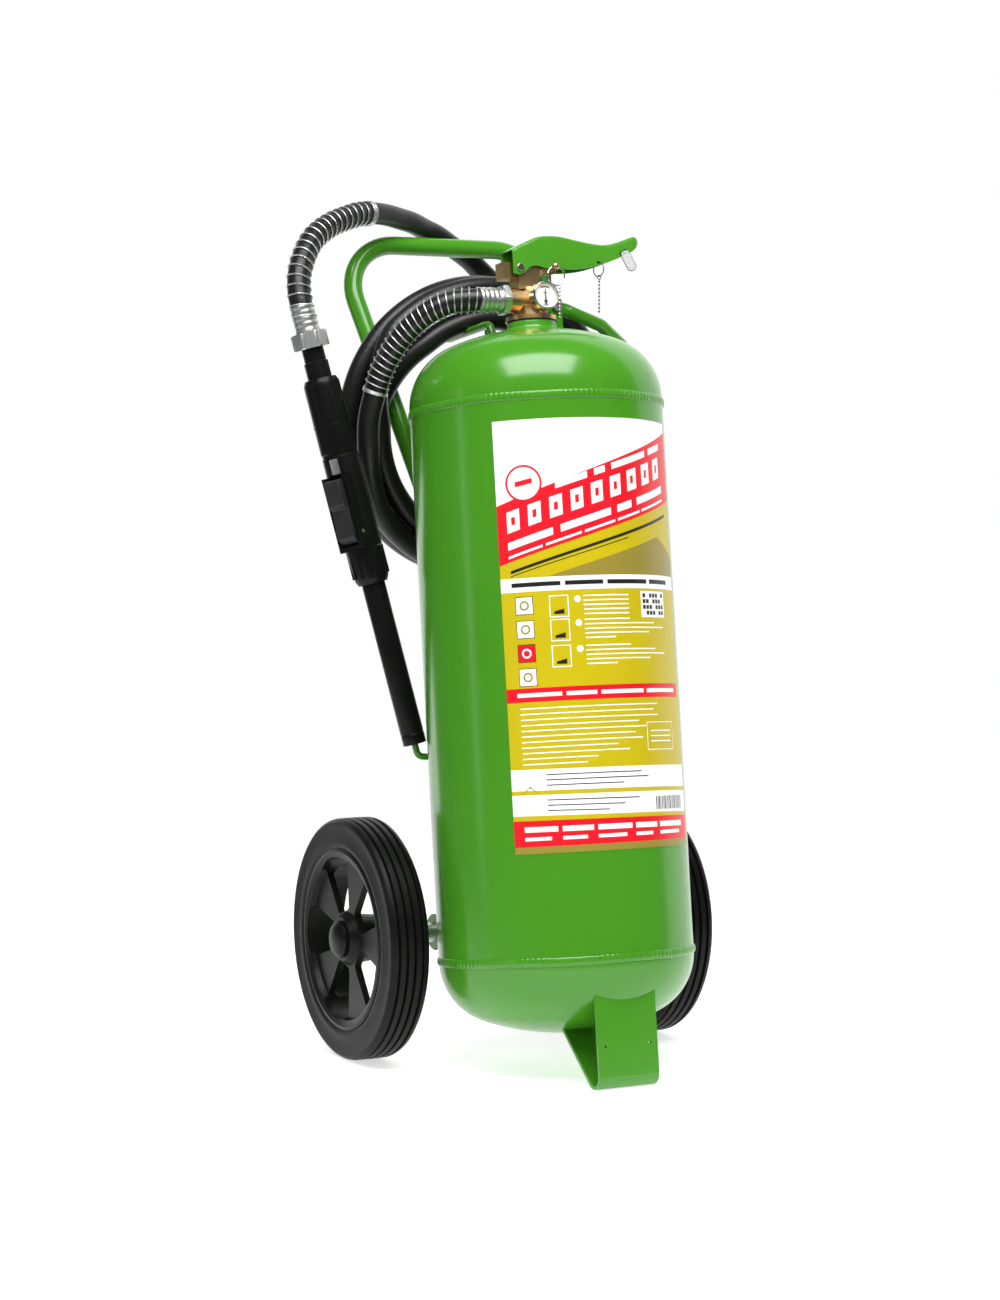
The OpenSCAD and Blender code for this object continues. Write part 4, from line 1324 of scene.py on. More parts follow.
class PrintedLabel:
    """The wrap, drawn as thin coloured patches, with plain bars where words would be.

    f runs across from 0 at the left to 1, and v runs down from 0 at the top to 1.
    """

    CLIMB = 0.153     # rise of the red band's rows across the wrap, as a share of v

    def __init__(self, finish: Finishes, sizes: LabelSizes = LabelSizes()) -> None:
        """Keeps the finishes and sizes."""
        self.finish, self.sizes = finish, sizes
        self.grids: list[Array] = []
        self.inks: list[Colour] = []

    def _wrap(self, f: Array, v: Array, lift: Array | float) -> Array:
        """Points of the cylinder: (r cos a, r sin a, top - v * height), a growing with f.

        Args:
            f: shares of the wrap's width.
            v: shares of its height.
            lift: how far each point is lifted off the cylinder.

        Returns:
            The points.
        """
        s = self.sizes
        a = np.radians(-90 + (f - 0.5) * s.span)
        r = s.radius + lift + 0 * a
        return CYLINDER.put(np.stack([r * np.cos(a), r * np.sin(a), s.top - v * s.height], -1))

    def quad(self, ink: Ink, corners: Sequence, layer: int) -> None:
        """A patch with four corners (f, v): left top, right top, right bottom, left bottom.

        Args:
            ink: its colour.
            corners: the four corners.
            layer: how many films lie under it.
        """
        lt, rt, rb, lb = (np.array(c, float) for c in corners)
        steps = max(1, int(abs(rt[0] - lt[0]) * 64))
        x, y = np.meshgrid(np.linspace(0, 1, steps + 1), np.linspace(0, 1, 3), indexing="ij")
        x, y = x[..., None], y[..., None]
        p = (lt * (1 - x) + rt * x) * (1 - y) + (lb * (1 - x) + rb * x) * y
        self.grids.append(self._wrap(p[..., 0], p[..., 1], layer * self.sizes.layer))
        self.inks.append(ink.value)

    def bar(self, ink: Ink, f0: float, f1: float, v0: float, v1: float, high: float,
            layer: int) -> None:
        """A slanted bar whose middle runs from (f0, v0) to (f1, v1), high metres tall."""
        h = high / self.sizes.height / 2
        self.quad(ink, [(f0, v0 - h), (f1, v1 - h), (f1, v1 + h), (f0, v0 + h)], layer)

    def box(self, ink: Ink, f: float, v: float, wide: float, high: float, layer: int,
            line: float = 0) -> None:
        """An upright box round (f, v).

        Args:
            ink: its colour.
            f: its middle, across.
            v: its middle, down.
            wide: its width in metres.
            high: its height in metres.
            layer: how many films lie under it.
            line: width of its outline in metres, or 0 for a filled box.
        """
        s = self.sizes
        across = s.radius * math.radians(s.span)
        w, h = wide / across / 2, high / s.height / 2
        if not line:
            self.quad(ink, [(f - w, v - h), (f + w, v - h), (f + w, v + h), (f - w, v + h)], layer)
            return
        lw, lh = line / across, line / s.height
        edges = ((-w, w, -h, lh - h), (-w, w, h - lh, h), (-w, lw - w, -h, h), (w - lw, w, -h, h))
        for f0, f1, v0, v1 in edges:
            corners = [(f + f0, v + v0), (f + f1, v + v0), (f + f1, v + v1), (f + f0, v + v1)]
            self.quad(ink, corners, layer)

    def disc(self, ink: Ink, f: float, v: float, radius: float, layer: int,
             hole: float = 0) -> None:
        """A disc or a ring round (f, v): middle + r * (cos a, sin a).

        Args:
            ink: its colour.
            f: its middle, across.
            v: its middle, down.
            radius: its radius in metres.
            layer: how many films lie under it.
            hole: radius of its hole in metres.
        """
        s = self.sizes
        a = np.linspace(0, 2 * np.pi, 41)[:, None]
        r = np.linspace(radius, hole, 4)[None]
        across = s.radius * math.radians(s.span)
        x, y = f + r * np.cos(a) / across, v - r * np.sin(a) / s.height
        self.grids.append(self._wrap(x, y, layer * s.layer))
        self.inks.append(ink.value)

    def _ground(self) -> None:
        """The white film itself, with its edges turned down on to the cylinder."""
        f = np.concatenate([[0], np.linspace(0, 1, 97), [1]])[:, None]
        v = np.concatenate([[0], np.linspace(0, 1, 9), [1]])[None]
        inner = np.zeros((f.size, v.size))
        inner[[0, -1]] = inner[:, [0, -1]] = -0.0005
        self.grids.append(self._wrap(f + 0 * v, v + 0 * f, inner))
        self.inks.append(Ink.WHITE.value)

    def _head(self) -> None:
        """The red band that climbs to the right, its bars and the ringed disc."""
        self.quad(Ink.RED, [(0, .197), (1, .02), (1, .1835), (0, .3355)], 1)
        self._slanted(((.27, .42), (.455, .51), (.545, .76), (.79, .90)), .197, .0075)
        letters = [.045 + step * .0975 for step in range(9)]
        self._slanted([(f, f + .058) for f in letters], .2443, .024)
        self._slanted([(f + .02, f + .038) for f in letters], .2443, .009, Ink.RED, 3)
        self._slanted(((.045, .25), (.285, .53), (.565, .65), (.685, .91)), .299, .0085)
        fine_print = ((.045, .20), (.215, .38), (.395, .55), (.565, .70), (.715, .91))
        self._slanted(fine_print, .3245, .0028)
        self.disc(Ink.RED, .129, .1475, .021, 3)
        self.disc(Ink.WHITE, .129, .1475, .0185, 4)
        self.bar(Ink.RED, .09, .168, .15, .142, .006, 5)

    def _slanted(self, spans: Sequence, v: float, high: float, ink: Ink = Ink.WHITE,
                 layer: int = 2) -> None:
        """A row of bars that climbs with the red band.

        Args:
            spans: where each bar starts and ends, across.
            v: the row's middle at the wrap's left edge.
            high: the bars' height in metres.
            ink: their colour.
            layer: how many films lie under them.
        """
        for f0, f1 in spans:
            self.bar(ink, f0, f1, v - self.CLIMB * f0, v - self.CLIMB * f1, high, layer)

    def _field(self) -> None:
        """The mustard field with its dark bar, triangle and white band."""
        self.quad(Ink.MUSTARD, [(0, .3355), (1, .1835), (1, .984), (0, .984)], 1)
        self.bar(Ink.BLACK, .05, .93, .352, .222, .0035, 2)
        self.bar(Ink.BLACK, .05, .62, .361, .279, .0012, 2)
        self.quad(Ink.OLIVE, [(.21, .366), (.83, .275), (.83, .366), (.21, .366)], 2)
        self.quad(Ink.OLIVE, [(.83, .275), (1, .32), (1, .366), (.83, .366)], 2)
        self.quad(Ink.WHITE, [(0, .366), (1, .366), (1, .398), (0, .398)], 2)
        for f0, f1 in ((.05, .27), (.29, .47), (.49, .72), (.74, .90)):
            self.bar(Ink.BLACK, f0, f1, .382, .382, .005, 3)

    def _signs(self) -> None:
        """Rows of plain signs with fine lines beside them."""
        for v, ink in ((.43, Ink.WHITE), (.485, Ink.WHITE), (.54, Ink.RED), (.595, Ink.WHITE)):
            self.box(ink, .103, v, .020, .020, 3)
            self.box(Ink.BLACK, .103, v, .0205, .0205, 4, .0008)
            self.disc(Ink.OLIVE if ink is Ink.WHITE else Ink.WHITE, .103, v, .0055, 4, .0035)
        for v in (.435, .49, .55):
            self.box(Ink.WHITE, .258, v, .022, .025, 3, .001)
            self.quad(Ink.BLACK,
                      [(.235, v + .012), (.281, v + .006), (.281, v + .018), (.235, v + .018)], 4)
            self.disc(Ink.WHITE, .343, v - .015, .0038, 3)
            for step in range(5):
                row = v - .022 + step * .0105
                end = (.60, .76, .84, .72, .52)[step] if row > .47 else .60
                self.bar(Ink.WHITE, .37, end, row, row, .0014, 3)
        self.box(Ink.WHITE, .767, .435, .047, .030, 3)
        for step in range(7):
            for row in range(4):
                if (step * 5 + row * 3) % 4 != 1:
                    self.box(Ink.BLACK, .697 + step * .0235, .4145 + row * .0135, .0048, .0046, 4)

    def _foot_bands(self) -> None:
        """The strip, the fine lines and the bands at the wrap's foot."""
        self.quad(Ink.RED, [(0, .620), (.97, .620), (.97, .652), (0, .652)], 2)
        for f0, f1 in ((.05, .25), (.27, .41), (.43, .66), (.68, .92)):
            self.bar(Ink.WHITE, f0, f1, .636, .636, .0045, 3)
        for step, end in enumerate((.75, .72, .75, .62, .66, .60, .64, .50, .56, .40, .35)):
            v = .667 + step * .0128
            self.bar(Ink.WHITE, .06, end, v, v, .0013, 3)
        self.box(Ink.WHITE, .772, .742, .053, .032, 3, .0008)
        for step in range(3):
            self.box(Ink.WHITE, .772, .730 + step * .012, .040, .0013, 3)
        self.quad(Ink.WHITE, [(0, .806), (1, .812), (1, .8625), (0, .8545)], 2)
        self.quad(Ink.WHITE, [(0, .8645), (1, .872), (1, .9215), (0, .912)], 2)
        self.quad(Ink.OLIVE, [(.085, .845), (.086, .845), (.12, .862), (.05, .862)], 3)
        for step, (upper, lower) in enumerate(((.62, .60), (.66, .52), (.52, .44))):
            v = step * .012
            self.bar(Ink.BLACK, .16, upper, .820 + v, .822 + v, .0013, 3)
            self.bar(Ink.BLACK, .16, lower, .878 + v, .882 + v, .0013, 3)
        for step in range(22):
            wide = (.0016, .0009, .0022, .0012)[step * 7 % 4]
            self.box(Ink.BLACK, .705 + step * .0108, .898, wide, .015, 3)
        self.quad(Ink.RED, [(0, .9235), (1, .930), (1, .984), (0, .984)], 2)
        for f0, f1 in ((.05, .20), (.22, .36), (.38, .55), (.57, .70), (.72, .92)):
            self.bar(Ink.WHITE, f0, f1, .944 + .004 * f0, .944 + .004 * f1, .006, 3)
            self.bar(Ink.WHITE, f0, f1 - .03, .966, .966, .004, 3)
        self.quad(Ink.OLIVE, [(0, .984), (1, .984), (1, 1), (0, 1)], 2)

    def build(self) -> None:
        """Makes the wrap as one piece."""
        self._ground()
        self._head()
        self._field()
        self._signs()
        self._foot_bands()
        wrap = grids_to_mesh("label", self.grids, tidy=False, inks=self.inks)
        fit_out(wrap, BODY, "label_film", self.finish.label, "label_wrap")


# ---------- handle, hanger and peg ----------

@dataclass(frozen=True)
class BarSizes:
    """Diameters and bends of the rods, in metres."""

    bar: float = 0.023
    bar_bend: float = 0.066
    arm: float = 0.016
    arm_bend: float = 0.020
    rod: float = 0.010
    rod_bend: float = 0.012
    peg: float = 0.008
    peg_bend: float = 0.009
    peg_inside: float = 30     # millimetres
    eye_bore: float = 0.004
    eye_r: float = 0.010
    eye: float = 0.006


class PushBar:
    """The push bar, the hanger with its saddle, and the gun's peg."""

    # millimetres, in the cylinder's upright place
    BAR = [(-76, 126, 652), (-87, 138, 684), (-150, 217, 994), (150, 217, 994), (87, 138, 684),
           (76, 126, 652)]
    ARM = [(58, 20, 882.5), (112, 29, 867), (154, 46, 842), (150, 84, 800), (112, 88, 777)]
    SADDLE = [(34, 838), (50, 868), (164, 868), (172, 905)]

    def __init__(self, finish: Finishes, sizes: BarSizes = BarSizes()) -> None:
        """Keeps the finishes and sizes."""
        self.finish, self.sizes = finish, sizes

    def _rod(self, corners: Sequence, bends: float | Sequence[float], across: float, sides: int,
             beside: Sequence) -> Array:
        """A bent rod through corners in millimetres, with its ends rounded over.

        Its radius within e of an end, where e is a third of the radius r, is
        r - e + e * sqrt(1 - (1 - d / e)^2), for the distance d from that end.

        Args:
            corners: its corners in millimetres, in the cylinder's upright place.
            bends: bend radius in metres, or one for each inner corner.
            across: its diameter.
            sides: sides of its profile.
            beside: a direction that it never runs along.

        Returns:
            The rod's grid of points.
        """
        line = soften(np.array(corners, float) / 1000, bends, 14)
        r = across / 2
        edge = r / 3
        rounding = np.array([0.0, 0.02, 0.15, 0.45, 1.0]) * edge
        s = length_along(line)
        at = np.unique(np.concatenate([rounding, s[1:-1], s[-1] - rounding]))
        line = np.stack([np.interp(at, s, line[:, i]) for i in range(3)], -1)
        near = np.clip(np.minimum(at, s[-1] - at) / edge, 0, 1)
        radius = r - edge + edge * np.sqrt(1 - (1 - near) ** 2)
        turned = unit(CYLINDER.turn @ np.asarray(beside, float))
        return tube(CYLINDER.put(line), radius, sides, turned)

    def build(self) -> None:
        """Makes the handle, hanger and peg."""
        s, paint = self.sizes, self.finish.paint
        bar = self._rod(self.BAR, [0.01, s.bar_bend, s.bar_bend, 0.01], s.bar, 40,
                        (0, 0.969, -0.247))
        fit_out(grids_to_mesh("push_bar_tube", [bar]), BODY, "green_paint", paint,
                "handle_tube", "handle_lugs")
        self._hook()
        rods = [self._rod([(x, y, z) for y, z in self.SADDLE], s.rod_bend, s.rod, 20, (1, 0, 0))
                for x in (-30, 30)]
        fit_out(grids_to_mesh("coil_saddle", rods), BODY, "green_paint", paint, "hose_saddle")
        self._peg()
        fit_out(eased_copy("hanger_bracket", "bracket", 0.0006), BODY, "green_paint", paint,
                "hanger_bracket")
        fit_out(eased_copy("hanger_bolt", "bracket_bolt", 0.0005), BODY, "zinc_plate",
                self.finish.zinc, "hanger_bolt")

    def _hook(self) -> None:
        """The hanger's arm, its eye, and the flattened neck between them.

        The neck is an oval carried along a line: its half thickness grows from the
        eye's to the arm's, and its half width is the arm's.
        """
        s = self.sizes
        arm = self._rod(self.ARM, s.arm_bend, s.arm, 28, (0.1, 1, 0.05))
        washer = [(s.eye_bore, 0), (s.eye_r, 0), (s.eye_r, s.eye), (s.eye_bore, s.eye),
                  (s.eye_bore, 0)]
        eye = lathe(soften(washer, 0.0008, 3), CYLINDER.inside(FORWARD, (0.0415, 0.022, 0.885)), 48)
        middle = np.array([(0.0465, 0.019, 0.8850), (0.0475, 0.019, 0.8846),
                           (0.058, 0.0192, 0.8825), (0.063, 0.0202, 0.8812)])
        thick = np.array([0.0029, 0.003, 0.005, s.arm / 2])[:, None, None]
        across = s.arm / 2 * np.array([0.27, 0, 0.96])
        a = np.linspace(0, 2 * np.pi, 29)[None, :, None]
        neck = middle[:, None] + np.cos(a) * thick * [0, 1, 0] + np.sin(a) * across
        ends = np.repeat(middle[[0, -1], None], 29, axis=1)
        neck = CYLINDER.put(np.concatenate([ends[:1], neck, ends[1:]]))
        fit_out(grids_to_mesh("hanger_hook", [arm, eye, neck]), BODY, "green_paint",
                self.finish.paint,
                "hanger_arm")

    def _peg(self) -> None:
        """The peg that stands up inside the gun's lance, along the gun's own tilt."""
        s, tilt = self.sizes, math.radians(GUN_TILT)
        x, y, z = 1000 * np.array(GUN_END)
        tip = (x - s.peg_inside * math.sin(tilt), y, z + s.peg_inside * math.cos(tilt))
        peg = self._rod([(-98, 99, 353), (-131, 100, 356), tip], s.peg_bend, s.peg, 20, (0, 1, 0))
        fit_out(grids_to_mesh("gun_rest", [peg]), BODY, "green_paint", self.finish.paint, "gun_peg")


# ---------- wheels and axle ----------

@dataclass(frozen=True)
class WheelSizes:
    """A wheel's own sizes, in metres."""

    out: float = 0.192
    radius: float = WHEEL_R
    half_width: float = 0.025
    seat: float = 0.75
    groove_pitch: float = 0.010
    groove: float = 0.0032
    groove_depth: float = 0.0045
    cap_r: float = 0.020


class Side(Enum):
    """Which wheel."""

    LEFT = -1
    RIGHT = 1


class RunningGear:
    """Both wheels, the axle and its brackets."""

    def __init__(self, finish: Finishes, sizes: WheelSizes = WheelSizes()) -> None:
        """Keeps the finishes and sizes."""
        self.finish, self.sizes = finish, sizes

    def _tyre_outline(self) -> Array:
        """Half-rounded tread with four grooves between five ribs.

        Returns:
            The closed outline, as (radius, along) points.
        """
        s = self.sizes
        w, r, seat = s.half_width, s.radius, s.radius * s.seat
        half = [(seat, -w + .0020), (seat + .004, -w + .0003), (seat + .008, -w),
                (r - .017, -w + .0025), (r - .009, -w + .0002), (r - .005, -w + .0006),
                (r - .0022, -w + .0028), (r - .0008, -w + .0055)]
        grooves = []
        for i in (-3, -1, 1, 3):
            at, edge, deep = i * s.groove_pitch / 2, r - .0001 * abs(i), r - s.groove_depth
            g = s.groove / 2
            grooves += [(edge, at - g - .0005), (edge - .0006, at - g), (deep, at - g * .55),
                        (deep, at + g * .55), (edge - .0006, at + g), (edge, at + g + .0005)]
        rest = [(x, -y) for x, y in reversed(half)]
        return np.array(half + grooves + rest + half[:1])

    def _wheel(self, side: Side) -> None:
        """One wheel: tyre, rim, cap and bush.

        Args:
            side: which wheel.
        """
        s, name = self.sizes, side.name.lower()
        body = f"wheel_{name}"
        place = Place(turn_about(1, side.value * 90), np.array([side.value * s.out, 0, s.radius]))
        tyre = grids_to_mesh(f"tread_{name}", [lathe(self._tyre_outline(), place, 144)], 32)
        fit_out(tyre, body, "tyre_rubber", self.finish.tyre, f"tyre_{name}")
        fit_out(eased_copy(f"rim_{name}", f"spokes_{name}", 0.0011, 3), body, "rim_plastic",
                self.finish.rim, f"rim_{name}")
        base = s.half_width - 0.001
        dome = arc((0, base + 0.005), s.cap_r, 15, 90, 10) * [1, 0.3] + [0, (base + 0.005) * 0.7]
        rim = [(0.016, base), (0.022, base), (0.022, base + 0.0042), (0.0206, base + 0.005)]
        outline = soften(rim, 0.0008, 4)
        inside = [(0, base + 0.0015), (0.016, base)]
        cap = grids_to_mesh(f"hub_cap_{name}",
                            [lathe(np.vstack([outline, dome, inside]), place, 72)], 34)
        fit_out(cap, body, "rim_plastic", self.finish.rim, f"cap_{name}")
        paint_node(self.finish.nylon, f"bush_{name}")

    def build(self) -> None:
        """Makes the wheels and dresses the axle."""
        for side in Side:
            self._wheel(side)
        fit_out(eased_copy("axle_brackets", "axle_plates", 0.0006), BODY, "green_paint",
                self.finish.paint, "axle_brackets")
        paint_node(self.finish.zinc, "axle", "axle_spacers")


# ---------- valve ----------

@dataclass(frozen=True)
class ValveSizes:
    """The valve's round pieces and its lever, in metres."""

    gauge_at: tuple[float, float, float] = (0.002, -0.024, 0.889)
    gauge_r: float = 0.017
    needle_at: tuple[float, float] = (0.002, 0.882)
    pin_at: tuple[float, float] = (0.026, 0.927)
    pin_ball: tuple[float, float] = (-0.0205, 0.00475)
    ring: tuple[float, float] = (0.0115, 0.0008)
    lever_ring: tuple[float, float] = (0.0085, 0.00065)
    lever_ring_at: tuple[float, float, float] = (0.088, -0.01475, 0.9265)
    lever_half: float = 0.0155
    lever_wall: float = 0.0016
    lever_corner: float = 0.0042


class Valve:
    """Valve body, squeeze lever, gauge, pin, rings, chains, seal and tag."""

    # millimetres, side outline of the lever: Bezier runs along its back and its belly
    BACK = [((-28, 947), (-22, 950), (-4, 959), (7, 963)),
            ((7, 963), (18, 965.5), (32, 965.5), (40, 964.5)),
            ((40, 964.5), (60, 961.5), (80, 957), (96, 957)),
            ((96, 957), (114, 957.5), (128, 966), (141, 969)),
            ((141, 969), (146.5, 969), (147, 966.5), (147, 963.5))]
    BELLY = [((-26, 918), (-24, 917), (-22, 916.5), (-21, 916.5)),
             ((-21, 916.5), (-16, 916.5), (-12, 920), (-6, 926)),
             ((-6, 926), (0, 928.5), (6, 928.5), (12, 926)),
             ((12, 926), (18, 925), (34, 925), (44, 925)),
             ((44, 925), (72, 925), (96, 933), (116, 941)),
             ((116, 941), (126, 946), (136, 948), (143, 956)),
             ((143, 956), (146, 960), (147, 961), (147, 962.5))]

    def __init__(self, finish: Finishes, sizes: ValveSizes = ValveSizes()) -> None:
        """Keeps the finishes and sizes."""
        self.finish, self.sizes = finish, sizes

    def _lever(self) -> Array:
        """The lever as a pressed channel.

        Each ring is its cross-section at one station: up one wall, round a corner,
        over the back, round and down the other wall, and back inside by the wall's
        thickness. The heel's last ring is drawn together on the middle of the metal.

        Returns:
            The lever's grid of points.
        """
        s = self.sizes
        back = np.vstack([bezier(*run, 14) for run in self.BACK]) / 1000
        belly = np.vstack([bezier(*run, 14) for run in self.BELLY]) / 1000
        x = np.concatenate([[-0.028], np.linspace(-0.0275, 0.138, 110),
                            np.linspace(0.1388, 0.1468, 14)])
        top = np.interp(x, back[:, 0], back[:, 1])
        low = np.interp(x, belly[:, 0], belly[:, 1])
        low = np.minimum(low, top - 0.0012)
        half = s.lever_half - 0.0045 * np.clip((x - 0.132) / 0.0148, 0, 1) ** 3
        turn = np.radians(np.linspace(0, 90, 7))
        rings = []
        for inset in (0.0, s.lever_wall):
            c = np.minimum(s.lever_corner, (top - low) * 0.6)[:, None] - inset
            c = np.maximum(c, 0.0002)
            w, t = (half - inset)[:, None], np.maximum(top - inset, low + 0.0003)[:, None]
            y = np.hstack([-w, -w + c - c * np.cos(turn), w - c + c * np.sin(turn), w])
            z = np.hstack([low[:, None], t - c + c * np.sin(turn), t - c + c * np.cos(turn),
                           low[:, None]])
            rings.append(np.stack([x[:, None] + 0 * y, y, z], -1))
        outer, inner = rings
        loop = np.concatenate([outer, inner[:, ::-1], outer[:, :1]], axis=1)
        middle = (outer[:1] + inner[:1]) / 2
        heel = np.concatenate([middle, middle[:, ::-1], middle[:, :1]], axis=1)
        tip = loop[-1:].copy()
        tip[..., 0] += 0.0004
        tip[..., 1:] = tip[..., 1:].mean(axis=1, keepdims=True)
        return CYLINDER.put(np.concatenate([heel, loop, tip]))

    def _cut_lever(self, lever: bpy.types.Object) -> None:
        """Cuts the tag's slot and the ring's hole through the lever, as CAD has them.

        Args:
            lever: the lever; its mesh becomes the cut one.
        """
        slot = soften([(0, -.002), (.007, -.002), (.007, .002), (-.007, .002), (-.007, -.002),
                       (0, -.002)], .0018, 6)
        place = CYLINDER.inside(turn_about(1, -27) @ FORWARD, (0.124, 0, 0.949))
        hole = arc((0, 0), 0.0022, 0, 360, 24)
        ring_place = CYLINDER.inside(FORWARD, (0.088, -0.010, 0.935))
        grids = []
        for line, where, reach in ((slot, place, 0.03), (hole, ring_place, 0.02)):
            rows = [(0.0, -reach), (1.0, -reach), (1.0, reach), (0.0, reach)]
            plug = [np.column_stack([line * k, np.full(len(line), z)]) for k, z in rows]
            grids.append(where.put(np.stack(plug)))
        cutter = grids_to_mesh("lever_cutter", grids)
        cut = lever.modifiers.new("Slot and hole", "BOOLEAN")
        cut.object, cut.operation, cut.solver = cutter, "DIFFERENCE", "EXACT"
        view = bpy.context.evaluated_depsgraph_get()
        done = bpy.data.meshes.new_from_object(lever.evaluated_get(view))
        lever.modifiers.clear()
        lever.data = done
        done.set_sharp_from_angle(angle=math.radians(30))
        bpy.data.objects.remove(cutter)

    def _ring(self, centre: Sequence, turn: float, sizes: tuple[float, float]) -> Array:
        """A wire ring that stands upright.

        Args:
            centre: its middle.
            turn: how far it is turned about Z, in degrees.
            sizes: its radius and its wire's radius.

        Returns:
            The ring's grid of points.
        """
        place = CYLINDER.inside(turn_about(2, turn) @ FORWARD, centre)
        return lathe(arc((sizes[0], 0), sizes[1], 0, 360, 12), place, 64)

    def _beads(self, top: Sequence, count: int, across: float, pitch: float) -> Array:
        """A bead chain that hangs plumb: arcs of radius across / 2, turned about its line.

        Args:
            top: where it hangs from.
            count: number of beads.
            across: a bead's diameter.
            pitch: from bead to bead.

        Returns:
            The chain's grid of points.
        """
        line = [np.array([(0.0, 0.0)])]
        for i in range(count):
            line.append(arc((0, pitch * (i + 0.5)), across / 2, -76, 76, 10))
        line.append(np.array([(0.00045, pitch * count), (0.0, pitch * count)]))
        down = turn_about(0, 180 + LEAN)
        return lathe(np.vstack(line), CYLINDER.inside(down, top), 20)

    def _gauge(self) -> None:
        """Case, printed face, needle and lens."""
        s = self.sizes
        place = CYLINDER.inside(FORWARD, s.gauge_at)
        r = s.gauge_r
        outline = soften([(0, 0), (r - .002, 0), (r, .002), (r, .0125), (r - .001, .014),
                          (r - .0022, .014), (r - .0022, .010), (0, .010)],
                         [.0005, .0008, .0014, .0008, .0004, .0003], 4)
        case = grids_to_mesh("gauge_shell", [lathe(outline, place, 96)])
        fit_out(case, BODY, "chrome", self.finish.chrome, "gauge_case")
        face_r = r - .0024
        grids = [place.put(self._sector(0, face_r, 0, 360, .0108))]
        inks = [Ink.WHITE.value]
        pivot = CYLINDER.inside(FORWARD, (s.needle_at[0], s.gauge_at[1], s.needle_at[1]))
        for start, end, ink in ((69, 82, Ink.RED), (82, 98, Ink.GREEN), (98, 111, Ink.RED)):
            grids.append(pivot.put(self._sector(.0160, .0182, start, end, .01083)))
            inks.append(ink.value)
        for row, wide in ((.24, .22), (-.72, .34), (-.82, .22)):
            a, b = face_r * wide, face_r * row
            flat = np.array([[(x, y, .01085) for y in (b, b - .0006)] for x in (-a, a)])
            grids.append(place.put(flat[::-1]))
            inks.append(Ink.BLACK.value)
        face = grids_to_mesh("gauge_print", grids, tidy=False, inks=inks)
        fit_out(face, BODY, "dial", self.finish.dial, "gauge_dial")
        paint_node(self.finish.needle, "gauge_needle")
        lens = soften([(0, .0128), (r - .0024, .0128), (r - .0024, .0136), (0, .0142)],
                      [.0001, .0002], 2)
        glass = grids_to_mesh("gauge_glass", [lathe(lens, place, 96)])
        fit_out(glass, BODY, "lens", self.finish.lens, "gauge_lens")

    @staticmethod
    def _sector(inner: float, outer: float, start: float, end: float, height: float) -> Array:
        """A flat piece of a ring, facing up the Z axis: (r cos a, r sin a, height).

        Args:
            inner: its inner radius.
            outer: its outer radius.
            start: where it starts, in degrees.
            end: where it ends.
            height: its height.

        Returns:
            The grid of points.
        """
        a = np.radians(np.linspace(start, end, max(3, int(abs(end - start) / 5)) + 1))[:, None]
        r = np.linspace(outer, inner, 3)[None]
        return np.stack([r * np.cos(a), r * np.sin(a), height + 0 * r * a], -1)[::-1]

    def build(self) -> None:
        """Makes the valve's pieces."""
        s, f = self.sizes, self.finish
        fit_out(eased_copy("valve_body", "valve_casting", 0.0009), BODY, "brass", f.brass,
                "valve_body")
        self._gauge()
        lever = grids_to_mesh("squeeze_grip", [self._lever()], 50)
        self._cut_lever(lever)
        fit_out(lever, "squeeze_lever", "green_paint", f.paint, "lever")
        fit_out(eased_copy("lever_rivet", "grip_rivet", 0.0007), BODY, "chrome", f.chrome,
                "lever_rivet")
        paint_node(f.zinc, "valve_stem", "stem_spring")
        self._pull_pin()
        self._lever_loop()
        self._tag()

    def _pull_pin(self) -> None:
        """The safety pin with its ball, ring, bead chain and seal."""
        s, f = self.sizes, self.finish
        axis = CYLINDER.inside(FORWARD, (s.pin_at[0], 0, s.pin_at[1]))
        ball = arc((0, -s.pin_ball[0]), s.pin_ball[1], -65, 90, 20)
        shaft = soften([(0, -.020), (.002, -.020), (.002, float(ball[0, 1]))], .0006, 3)
        pin = grids_to_mesh("pull_pin", [lathe(np.vstack([shaft, ball]), axis, 48)])
        fit_out(pin, "pin", "brass", f.brass, "safety_pin")
        y = s.pin_ball[0]
        ring = self._ring((s.pin_at[0], y, s.pin_at[1] - s.ring[0]), 0, s.ring)
        fit_out(grids_to_mesh("pull_ring", [ring]), "pin_loop", "chrome", f.chrome, "pin_ring")
        hook = (s.pin_at[0] + .004, y, s.pin_at[1] - 2 * s.ring[0] - .00025)
        chain = self._beads(hook, 9, .003, .0044)
        fit_out(grids_to_mesh("pin_beads", [chain]), "pin_loop", "chrome", f.chrome, "pin_chain")
        fit_out(eased_copy("tamper_seal", "seal_block", 0.0004), "pin", "seal_plastic", f.seal,
                "tamper_seal")

    def _lever_loop(self) -> None:
        """The lever's ring with a link and a bead chain."""
        s, f = self.sizes, self.finish
        x, y, z = s.lever_ring_at
        ring = self._ring(s.lever_ring_at, -74, s.lever_ring)
        fit_out(grids_to_mesh("lever_loop_ring", [ring]), "lever_loop", "chain_steel", f.dark,
                "lever_ring")
        link_place = CYLINDER.inside(FORWARD, (x, y, z - .0096))
        link = lathe(arc((.0024, 0), .00055, 0, 360, 10), link_place, 32)
        chain = self._beads((x, y, z - .012), 9, .0026, .0045)
        fit_out(grids_to_mesh("lever_beads", [link, chain]), "lever_loop", "chain_steel", f.dark,
                "lever_chain")

